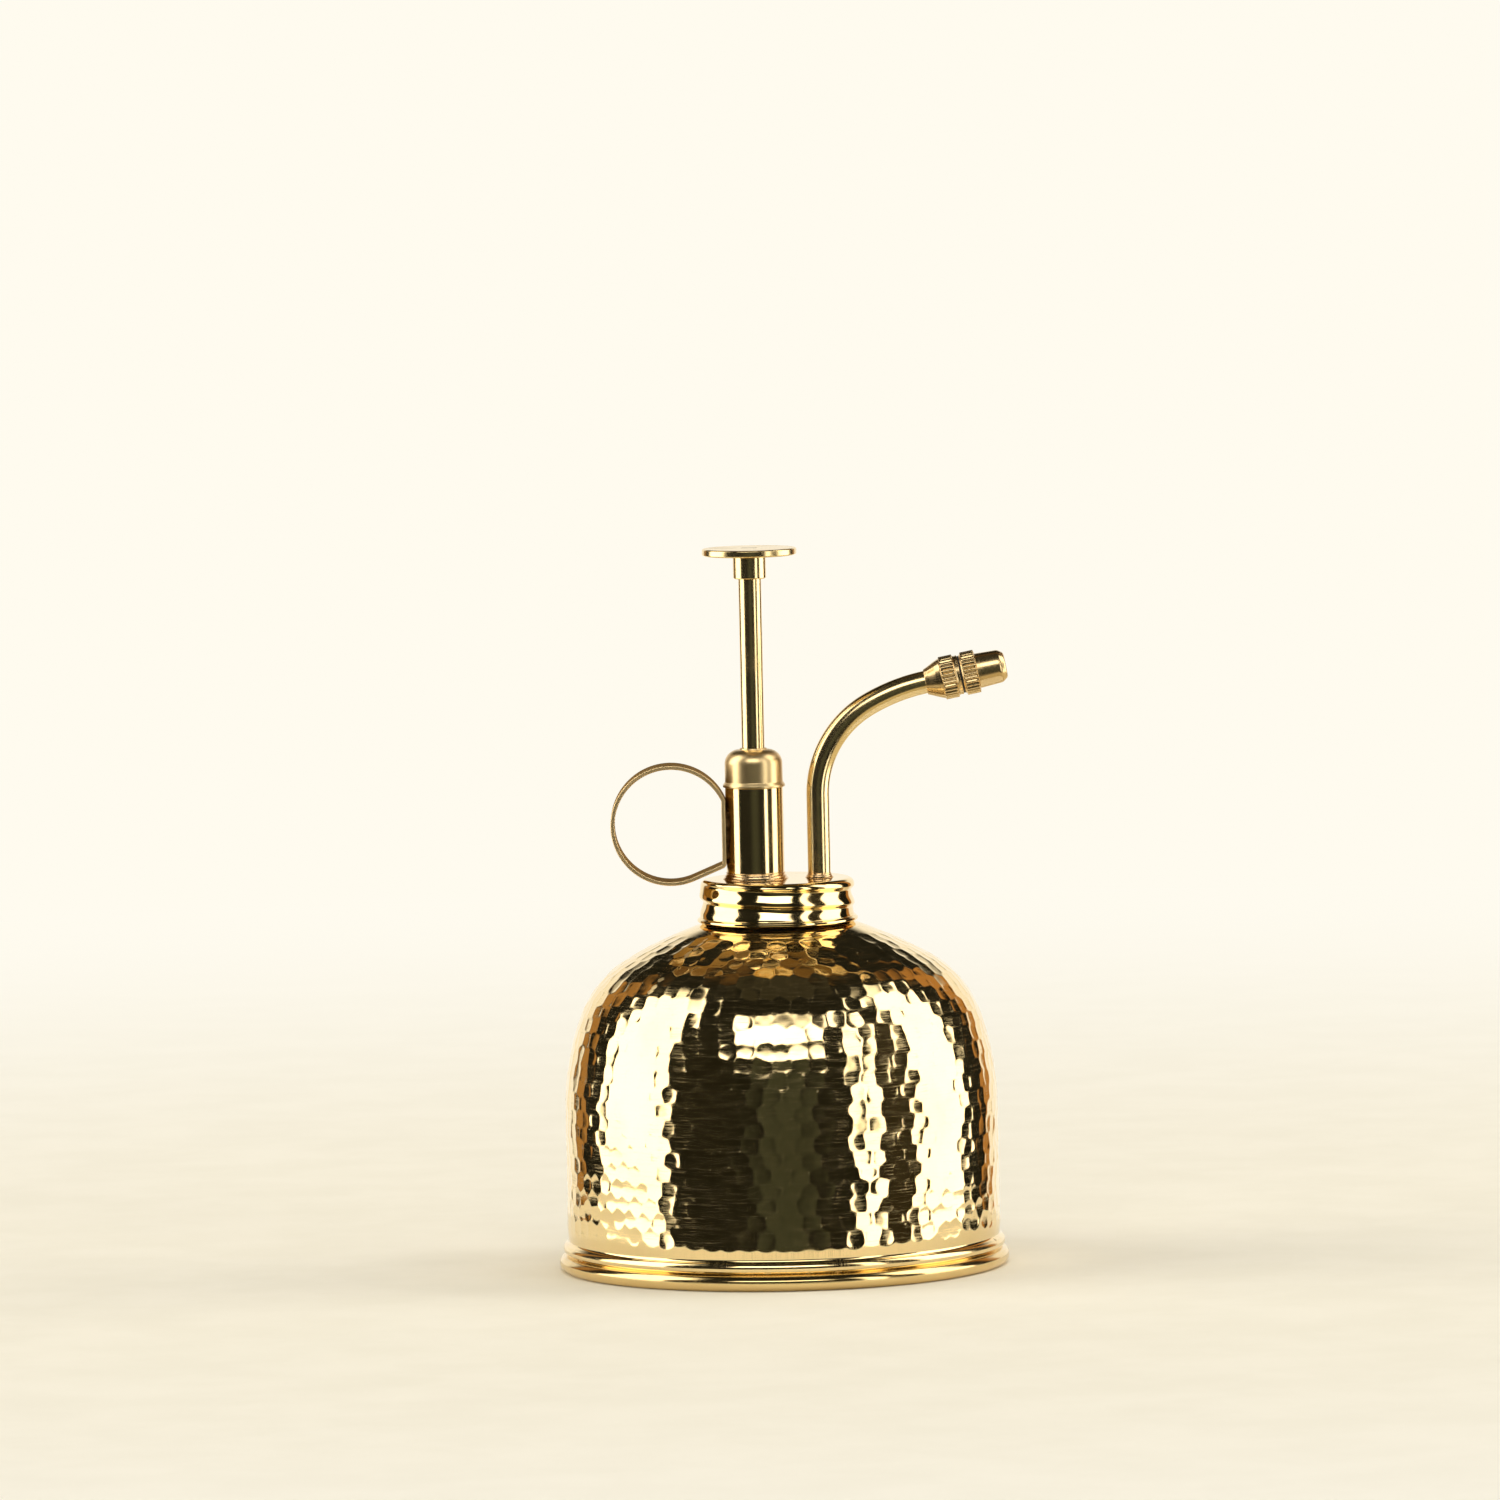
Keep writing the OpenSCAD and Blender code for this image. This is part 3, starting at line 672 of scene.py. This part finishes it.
def screw_cap():
    """Thin spun sheet with a rolled thread that winds down from the top, and an out-turned lip."""
    wall = [(17.45, 76.15, 0.1), (17.65, 76.35, 0.12), (17.62, 76.75, 0.15), (17.12, 77.1, 0.25)]
    top = [(17.08, 85.4, 1.5), (13.5, 85.4, 0), (8.0, 85.4, 0), (3.0, 85.4, 0), (0.0, 85.4, 0)]
    outside = rounded(wall + top, closed=False, steps=8)
    under = [(0.0, 84.8, 0), (3.0, 84.8, 0), (8.0, 84.8, 0), (13.5, 84.8, 0)]
    under += [(16.48, 84.8, 0.9), (16.5, 77.0, 0.3), (16.9, 76.3, 0.1)]
    inside = rounded(under, closed=False, steps=6)
    outline = np.concatenate([inside, outside])
    dense = densify(outline, 0.22, wanted=lambda pair: pair[:, 0].min() > 15.0)
    dense = np.concatenate([dense, outline[-1:]])
    steps = 288
    turn = np.arange(steps) * TAU / steps
    grid = around(dense, steps)
    on_wall = (dense[:, 0] > 15.4)[:, None] & (dense[:, 1:] > 77.2)
    groove_depth, dent_depth = 0.75, 0.17
    z = dense[:, 1:]
    wobble = 0.5 + 0.15 * np.sin(5 * turn + 1.0) + 0.2 * np.sin(3 * turn + z / 1.6)
    wobble = wobble + 0.15 * np.sin(11 * turn - z / 1.1)
    shift = (groove_depth * helix(turn, z, **GROOVE) + dent_depth * wobble) * on_wall
    pull_in(grid, shift, turn)
    piece = surface("screw_cap_piece", grid, polished, closed=False, poles=True)
    for x, tube_r in ((PUMP_X, BARREL_R), (SPOUT_X, SPOUT_R)):
        cut(piece, tube_r - 0.25, Matrix.Translation((x * MM, 0, CAP_TOP * MM)), 3.0)
    return finish(piece, "screw_cap", "head")


screw_cap()



def band(inner_r, outer_r, bottom, top, edge):
    """The outline of a ring or tube whose four edges are eased."""
    return rounded(
        [(inner_r, bottom, edge), (outer_r, bottom, edge), (outer_r, top, edge), (inner_r, top, edge)]
    )


gasket = lathe("gasket", band(13.6, 15.6, 84.0, 84.8, 0.15), rubber)
finish(gasket, "cap_gasket", "gasket")


def pump_barrel():
    """The barrel, with a weep hole in its front just under the cap's top."""
    weep_z, weep_r = 82.5, 0.6
    piece = lathe("barrel", band(5.7, 6.35, 52.0, 105.6, 0.12), barrel_tube, AT_PUMP, steps=160)
    weep = Matrix.Translation((PUMP_X * MM, -BARREL_R * MM, weep_z * MM))
    cut(piece, weep_r, weep @ Matrix.Rotation(math.radians(90), 4, "X"), 1.5)
    return finish(piece, "pump_barrel", "head")


pump_barrel()


def solder_fillet(name, node, radius, foot, height, place, seed):
    """Solder run round a tube where it enters the cap: an uneven cove with two raised rings."""
    steps = 160
    sunk = 0.02
    turn = np.arange(steps) * TAU / steps
    wander = np.random.default_rng(seed)
    rise, spread = np.ones(steps), np.ones(steps)
    for k in range(2, 9):
        rise += 0.055 / math.sqrt(k) * wander.normal() * np.cos(k * turn + wander.uniform(0, TAU))
        spread += 0.075 / math.sqrt(k) * wander.normal() * np.cos(k * turn + wander.uniform(0, TAU))
    rise, spread = np.clip(rise, 0.7, 1.0), np.clip(spread, 0.75, 1.0)
    t = np.linspace(0, 1, 22)
    rings = 0.10 * np.exp(-(((t - 0.45) / 0.09) ** 2)) + 0.13 * np.exp(-(((t - 0.86) / 0.07) ** 2))
    cove = (1 - t) ** 1.7 + rings
    r = radius + foot * cove[:, None] * spread[None, :]
    z = CAP_TOP + height * t[:, None] * rise[None, :]
    r[-1] = radius - sunk
    r[0] = np.minimum(r[0], radius + foot)
    inner_r = np.full((2, steps), radius - sunk)
    inner_z = np.array([[CAP_TOP + 0.3 * height], [CAP_TOP]]).repeat(steps, axis=1)
    r, z = np.concatenate([r, inner_r]), np.concatenate([z, inner_z])
    grid = np.stack([r * np.cos(turn), r * np.sin(turn), z], -1)
    return finish(surface(name, grid, solder, place), node, "head")


solder_fillet("barrel_solder", "barrel_solder_ring", BARREL_R, 0.9, 1.6, AT_PUMP, 5)
solder_fillet("spout_solder", "spout_solder_ring", SPOUT_R, 0.7, 1.2, AT_SPOUT, 9)


def gland():
    """The turned cap on the barrel: a thin lip, a plain wall, a round shoulder and a collar round the rod."""
    outline = rounded(
        [
            (2.55, 111.4, 0.1),
            (4.4, 111.4, 0.1),
            (4.4, 101.8, 0.1),
            (5.7, 101.8, 0.2),
            (5.7, 105.6, 0),
            (6.78, 105.6, 0.12),
            (6.8, 106.05, 0.18),
            (6.36, 106.75, 0.3),
            *((r, z, 0) for r, z in arc((3.22, 110.7), 3.1, 0, 90, 14)),
            (3.0, 113.82, 0.05),
            (2.93, 114.1, 0.1),
            (2.55, 114.1, 0.08),
        ],
        steps=8,
    )
    piece = lathe("gland", outline, satin, AT_PUMP, steps=160)
    return finish(piece, "gland_cap", "head")


gland()


def plunger_rod():
    bottom, top, edge = low("plunger_rod").z, high("plunger_rod").z, 0.2
    outline = rounded([(0, bottom, 0), (ROD_R, bottom, edge), (ROD_R, top, edge), (0, top, 0)], closed=False)
    piece = lathe("rod", outline, drawn, AT_PUMP, steps=96)
    return finish(piece, "plunger_rod", "plunger")


plunger_rod()


ROD_TOP = 155.0


def thumb_boss():
    """The collar between the rod and the disc."""
    bottom = low("thumb_boss").z
    top = high("thumb_boss").z
    outline = rounded(
        [
            (2.5, bottom + 0.25, 0.1),
            (2.7, bottom, 0.15),
            (3.4, bottom, 0.1),
            (3.6, bottom + 0.2, 0.12),
            (3.6, top, 0.06),
            (1.6, top, 0.05),
            (1.6, ROD_TOP, 0.05),
            (2.5, ROD_TOP, 0.05),
        ]
    )
    piece = lathe("boss", outline, drawn, AT_PUMP, steps=128)
    return finish(piece, "thumb_boss", "plunger")


thumb_boss()


def thumb_disc():
    """The disc that the thumb presses: a turned face, eased edges and the rivet's flush end."""
    top = DISC_TOP
    outline = rounded(
        [
            (0, ROD_TOP, 0),
            (1.55, ROD_TOP, 0.15),
            (1.6, 156.4, 0.08),
            (9.9, 156.4, 0.1),
            (10.35, 156.62, 0.22),
            (10.35, 157.78, 0.22),
            (10.05, top - 0.02, 0.15),
            (9.2, top, 0),
            (1.85, top, 0.08),
            (1.7, top - 0.09, 0.05),
            (1.5, top - 0.01, 0.08),
            (0, top, 0),
        ],
        closed=False,
        steps=6,
    )
    piece = lathe("disc", outline, drawn, AT_PUMP, steps=192)
    return finish(piece, "thumb_disc", "plunger")


thumb_disc()


def finger_ring():
    """A strip bent into a ring, its flat soldered to the barrel, with the sloping end tucked under."""
    inner_r, thick, width = 12.3, 0.9, 9.0
    slope_deg = 22.7
    middle_r = inner_r + thick / 2
    face = PUMP_X - BARREL_R
    centre = (face - inner_r + 0.25, 97.7)
    flat_x = face - thick / 2
    slope = math.radians(slope_deg)
    start = math.degrees(math.acos((flat_x - centre[0]) / middle_r))
    bend = arc(centre, middle_r, start, 270 + slope_deg, 150)
    foot = middle_r * np.array([math.sin(slope), -math.cos(slope)])
    corner_z = centre[1] + foot[1] + (flat_x - centre[0] - foot[0]) * math.tan(slope)
    turned = rounded([(*bend[-1], 0), (flat_x, corner_z, 0.7), (*bend[0], 0)], closed=False, steps=8)
    slope_part, flat_part = resample(turned[:2], 0.8), resample(turned[-2:], 0.8)
    path = np.concatenate([bend, slope_part[1:-1], turned[1:-1], flat_part[1:-1]])

    # The strip's section starts at its left edge below; both faces get points between their edges
    section = band(-width / 2, width / 2, -thick / 2, thick / 2, 0.22)
    across = np.linspace(-width / 2 + 0.8, width / 2 - 0.8, 5)
    under = np.stack([across, np.full(5, -thick / 2)], -1)
    above = np.stack([across[::-1], np.full(5, thick / 2)], -1)
    first, middle, last = np.split(section, [len(section) // 4, len(section) // 4 * 3])
    section = np.concatenate([first, under, middle, above, last])
    piece = surface("ring", sweep(path, section, closed=True), strip)
    return finish(piece, "finger_ring", "head")


finger_ring()


def ring_solder():
    """The two runs of solder between the ring's flat and the barrel, thicker below, coloured near black as
    painted shade of the gap between them.
    """
    face = PUMP_X - BARREL_R + 0.01
    near_y = 0.9
    z = np.linspace(89.55, 100.95, 60)
    wander = np.random.default_rng(3)
    grids = []
    for side in (-1, 1):
        wave = sum(0.10 * wander.normal() * np.cos(k * z / 2.3 + wander.uniform(0, TAU)) for k in (1, 2, 4))
        reach = np.clip(2.9 + wave, 2.5, 3.35)
        ease = np.clip(np.minimum(z - z[0], z[-1] - z) / 0.8, 0.02, 1) ** 0.5
        rows = []
        for t in np.linspace(0, 1, 9):
            y = side * (near_y + (reach - near_y) * (1 - 0.10 * math.sin(t * math.pi)) * ease)
            barrel_x = PUMP_X - np.sqrt(np.clip(BARREL_R**2 - y * y, 0, None))
            x = face + (barrel_x - face + 0.03) * t
            rows.append(np.stack([x, y, z], -1))
        inner_y = np.full_like(z, side * 0.5)
        inner_x = PUMP_X - np.sqrt(BARREL_R**2 - inner_y**2)
        rows.append(np.stack([inner_x + 0.02, inner_y, z], -1))
        rows.append(np.stack([np.full_like(z, face), inner_y, z], -1))
        grids.append(np.stack(rows, 1))
    pieces = [surface(f"ring_solder_{k}", g, gap_shade_solder, closed=False, ends=True) for k, g in enumerate(grids)]
    for piece in pieces:
        finish(piece, "ring_solder", "head")


ring_solder()


# -------------------------------------------------------------------- spout


def spout():
    """The bent delivery tube from the outlet valve to the nozzle: a tight bend, then a wide one."""
    straight, bend_1, bend_2, turn_1, wall = 103.5, 22.5, 41.5, 60.0, 0.5
    rise = math.degrees(math.asin(NOZZLE_AXIS.z))
    centre_1 = (SPOUT_X + bend_1, straight)
    first = arc(centre_1, bend_1, 180, 180 - turn_1, 60)
    turn = math.radians(turn_1)
    centre_2 = (first[-1][0] + bend_2 * math.cos(turn), first[-1][1] - bend_2 * math.sin(turn))
    second = arc(centre_2, bend_2, 180 - turn_1, 90 + rise, 40)
    end = second[-1] + 2.5 * np.array([NOZZLE_AXIS.x, NOZZLE_AXIS.z])
    upright = np.stack([np.full(30, SPOUT_X), np.linspace(72.0, straight, 30)], -1)
    path = np.concatenate([upright, first[1:], second[1:], np.linspace(second[-1], end, 4)[1:]])
    ring = np.arange(48) * TAU / 48
    circle = np.stack([np.sin(ring), np.cos(ring)], -1)
    outside, bore = (sweep(path, radius * circle) for radius in (SPOUT_R, SPOUT_R - wall))
    piece = surface("spout", np.concatenate([outside, bore[::-1]]), drawn)
    return finish(piece, "spout_tube", "head")


spout()


TEETH = 32


def knurl_grid(corners, start, end):
    """A turned outline with straight knurls cut into it between the heights start and end."""
    columns, depth, smooth_r = TEETH * 10, 0.26, 4.42
    outline = closed_up(rounded(corners, steps=5))
    dense = densify(outline, 0.2, wanted=lambda pair: pair[:, 0].min() > 4.3)
    turn = np.arange(columns) * TAU / columns
    phase = (turn * TEETH / TAU) % 1.0
    valley = (1 - np.clip(np.abs(phase - 0.5) / 0.36, 0, 1)) ** 0.8
    z = dense[:, 1]
    cut_in = np.clip((z - start) / 0.3, 0, 1) * np.clip((end - z) / 0.3, 0, 1) * (dense[:, 0] > smooth_r)
    grid = around(dense, columns)
    pull_in(grid, depth * cut_in[:, None] * valley, turn)
    return grid


def nozzle_body():
    """The cone on the spout's end, its knurl and the stub that the spray cap screws on to."""
    corners = [
        (1.6, 2.5, 0.1), (2.5, 2.5, 0.1), (2.5, 0.05, 0.1), (2.78, 0.0, 0.08), (3.15, 0.85, 0.3),
        (3.95, 2.5, 0.6),
        (4.38, 3.55, 0.12), (4.4, 3.68, 0.05), (4.75, 3.78, 0.06), (4.75, 6.72, 0.06), (4.42, 6.82, 0.05),
        (4.28, 7.2, 0.15), (4.38, 7.78, 0.1), (3.2, 7.8, 0.08), (3.2, 13.0, 0.15), (1.6, 13.0, 0.1),
    ]
    piece = surface("nozzle_base", knurl_grid(corners, 3.7, 6.8), knurled, AT_NOZZLE)
    return finish(piece, "nozzle_body", "head")


def nozzle_cap():
    """The spray cap: its knurl, and a plain round-ended tip with the mist hole."""
    corners = [
        (0.45, 18.0, 0.08), (0.45, 16.4, 0.05), (2.9, 16.4, 0.2), (2.9, 13.4, 0.1), (3.25, 13.3, 0.05),
        (3.25, 8.22, 0.08), (4.18, 8.2, 0.1), (4.4, 8.5, 0.06), (4.75, 8.58, 0.06), (4.75, 11.52, 0.06),
        (4.4, 11.62, 0.05), (4.15, 11.7, 0.1), (3.85, 11.72, 0.05), (3.84, 11.9, 0.05), (3.6, 16.75, 1.4),
        (2.7, 17.98, 0.8), (0.62, 18.0, 0.08),
    ]
    piece = surface("spray_cap_piece", knurl_grid(corners, 8.5, 11.6), knurled, AT_NOZZLE)
    return finish(piece, "nozzle_cap", "spray_cap")


nozzle_body()
nozzle_cap()


# ------------------------------------------------------------- inner pieces

piston = lathe("piston_piece", band(2.5, 5.45, 94.5, 101.0, 0.2), plain, AT_PUMP, steps=96)
finish(piston, "piston", "plunger")


def return_spring():
    """The coil under the piston."""
    turns, per_turn, wire, coil_r = 11, 36, 0.4, 4.9
    count = turns * per_turn + 1
    t = np.arange(count)
    angle = t * TAU / per_turn
    bottom = high("spring_seat").z
    length = low("piston").z - bottom
    centre_z = bottom + wire + (length - 2 * wire) * t / (count - 1)
    ring = np.arange(12) * TAU / 12
    r = coil_r + wire * np.cos(ring)
    z = centre_z[:, None] + wire * np.sin(ring)
    grid = np.stack([r * np.cos(angle)[:, None], r * np.sin(angle)[:, None], z], -1)
    piece = surface("spring", grid, steel, AT_PUMP, closed=False, ends=True)
    finish(piece, "return_spring", "head")
    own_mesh(piece)


return_spring()

# The other inner pieces keep their CAD shapes
carried = [
    (plain, "foot_valve_body", "outlet_valve_body", "delivery_pipe", "spring_seat"),
    (plain, "swirl_core", "gland_bush"),
    (rubber, "gland_packing", "piston_seal", "nozzle_seal"),
    (plastic, "dip_tube", "strainer"),
    (steel, "inlet_ball", "outlet_ball", "inlet_stop_pin", "outlet_stop_pin"),
]
for material, *names in carried:
    for node in names:
        mesh = frame["nodes"][node].data
        mesh.materials.clear()
        mesh.materials.append(material)


# ---------------------------------------------------------- floor and light

CREAM = (1.0, 0.965, 0.863)


def floor():
    """A wide pale disc, plain near the mister and fading into the backdrop's tone far from it."""
    rings = [0.0, 0.05, 0.1, 0.2, 0.35, 0.6, 1.0, 2.0, 4.0, 9.0, 20.0]
    turn = np.arange(96) * TAU / 96
    r = np.array(rings)[:, None]
    below = np.full((len(rings), len(turn)), -0.00002)
    grid = np.stack([r * np.cos(turn), r * np.sin(turn), below], -1) / MM
    material, nodes, shader = new_material("floor")
    shader.inputs["Roughness"].default_value = 0.9
    shader.inputs["Specular IOR Level"].default_value = 0.1
    place = nodes.node("ShaderNodeTexCoord").outputs["Object"]
    mottle = nodes.noise(place, 35.0, 4.0, 0.6)
    shade = nodes.blend(nodes.span(mottle, 0.3, 0.7), (0.86, 0.835, 0.75, 1), (0.89, 0.865, 0.785, 1))
    nodes.plug(shade, shader.inputs["Base Color"])
    x, y, _ = nodes.split(place)
    away = nodes.length(x, y)
    glow = nodes.node("ShaderNodeEmission")
    glow.inputs["Color"].default_value = (*CREAM, 1)
    mix = nodes.node("ShaderNodeMixShader")
    nodes.plug(nodes.span(away, 0.12, 0.9), mix.inputs[0])
    nodes.plug(shader.outputs[0], mix.inputs[1])
    nodes.plug(glow.outputs[0], mix.inputs[2])

    # Only the patch round the mister shows in the brass, as a small table under it would
    patch_x = nodes.math("DIVIDE", nodes.math("ADD", x, 0.026), 0.176)
    patch_y = nodes.math("DIVIDE", nodes.math("SUBTRACT", y, 0.014), 0.094)
    squares = [nodes.math("MULTIPLY", value, value) for value in (patch_x, patch_y)]
    off_patch = nodes.span(nodes.math("ADD", *squares), 0.96, 1.04)
    glossy = nodes.node("ShaderNodeLightPath").outputs["Is Glossy Ray"]
    clear = nodes.node("ShaderNodeBsdfTransparent")
    through = nodes.node("ShaderNodeMixShader")
    nodes.plug(nodes.math("MULTIPLY", off_patch, glossy), through.inputs[0])
    nodes.plug(mix.outputs[0], through.inputs[1])
    nodes.plug(clear.outputs[0], through.inputs[2])
    nodes.plug(through.outputs[0], material.node_tree.nodes["Material Output"].inputs["Surface"])
    piece = surface("floor", grid, material, closed=False, poles=True)


floor()


def studio():
    """A dark room with soft lights at the sides and above the front, and a bright backdrop and table."""
    world = bpy.data.worlds.new("studio")
    scene.world = world
    world.use_nodes = True
    tree = world.node_tree
    nodes = Nodes(tree)
    x, y, z = nodes.split(nodes.node("ShaderNodeTexCoord").outputs["Generated"])
    side = nodes.math("DEGREES", nodes.math("ARCTAN2", x, nodes.math("MULTIPLY", y, -1.0)))
    rise = nodes.math("DEGREES", nodes.math("ARCSINE", z))

    def window(value, start, end, soft_start, soft_end):
        opens = nodes.span(value, start - soft_start, start + soft_start)
        closes = nodes.span(value, end - soft_end, end + soft_end, 1.0, 0.0)
        return nodes.math("MULTIPLY", opens, closes)

    total = (0.013, 0.0125, 0.008, 1)
    lights = [
        # side: from, to, softness of each; rise: from, to, softness of each; colour (degrees; 0 is the front)
        ((-112, -65.5, 2.0, 1.2), (-21, 57, 1.5, 5), (2.7, 2.55, 2.2)),
        ((41.5, 53.5, 1.2, 1.2), (-21, 50, 1.5, 5), (2.6, 2.5, 2.2)),
        ((76, 114, 1.2, 2.0), (-21, 57, 1.5, 5), (2.7, 2.55, 2.2)),
        ((-30, 25, 2.5, 3), (26, 47, 2.5, 5), (3.2, 3.05, 2.7)),
        ((-12, 16, 10, 10), (-32, 26, 8, 10), (0.032, 0.037, 0.023)),
        ((54, 76, 3, 3), (-20, 40, 5, 10), (0.014, 0.009, 0.003)),
        ((136, 148, 2, 2), (-20, 44, 5, 10), (0.46, 0.21, 0.05)),
        ((-142, -132, 2, 2), (-20, 40, 5, 10), (0.40, 0.20, 0.055)),
        ((-180, -140, 0.1, 9), (60, 70, 3, 4), (0.10, 0.05, 0.012)),
        ((135, 180, 9, 0.1), (58, 70, 3, 4), (0.14, 0.07, 0.014)),
    ]
    for (a, b, soft_a, soft_b), (c, d, soft_c, soft_d), colour in lights:
        across, upward = window(side, a, b, soft_a, soft_b), window(rise, c, d, soft_c, soft_d)
        share = nodes.math("MULTIPLY", across, upward)
        total = nodes.blend(1.0, total, nodes.blend(share, (0, 0, 0, 1), (*colour, 1)), "ADD")
    at_back = nodes.span(nodes.math("ABSOLUTE", side), 143, 147)
    behind = nodes.math("MULTIPLY", at_back, nodes.span(rise, 27, 17))
    total = nodes.blend(behind, total, (1.05, 1.0, 0.88, 1))
    total = nodes.blend(nodes.span(rise, 70, 78), total, (0.035, 0.032, 0.02, 1))
    table = nodes.blend(nodes.span(rise, -30, -60), (0.74, 0.62, 0.38, 1), (0.50, 0.40, 0.20, 1))
    lower = nodes.math("ADD", rise, nodes.math("MULTIPLY", window(side, -63, 60, 6, 8), 14.0))
    total = nodes.blend(nodes.span(lower, -18.5, -23.5), total, table)
    lit = nodes.node("ShaderNodeBackground")
    nodes.plug(total, lit.inputs["Color"])
    seen = nodes.node("ShaderNodeBackground")
    seen.inputs["Color"].default_value = (*CREAM, 1)
    mix = nodes.node("ShaderNodeMixShader")
    nodes.plug(nodes.node("ShaderNodeLightPath").outputs["Is Camera Ray"], mix.inputs[0])
    nodes.plug(lit.outputs[0], mix.inputs[1])
    nodes.plug(seen.outputs[0], mix.inputs[2])
    nodes.plug(mix.outputs[0], tree.nodes["World Output"].inputs["Surface"])
    world.cycles.sampling_method = "MANUAL"
    world.cycles.sample_map_resolution = 1024

    sun = bpy.data.lights.new("overhead", "SUN")
    sun.energy = 1.1
    sun.angle = math.radians(50)
    sun.color = (1.0, 0.97, 0.9)
    lamp = bpy.data.objects.new("overhead", sun)
    scene.collection.objects.link(lamp)
    lamp.rotation_euler = (math.radians(-14), math.radians(8), 0)
    lamp.visible_glossy = False


studio()

camera = bpy.data.objects.new("camera", bpy.data.cameras.new("camera"))
scene.collection.objects.link(camera)
camera.data.sensor_width = 36
camera.data.lens = 296.7
camera.data.clip_end = 100
camera.location = (-0.0053, -2.7, 0.327)
camera.rotation_euler = (
    Matrix.Rotation(math.radians(85.482), 3, "X") @ Matrix.Rotation(math.radians(-1.2), 3, "Z")
).to_euler()
scene.camera = camera
scene.view_settings.view_transform = "Standard"
scene.view_settings.look = "None"
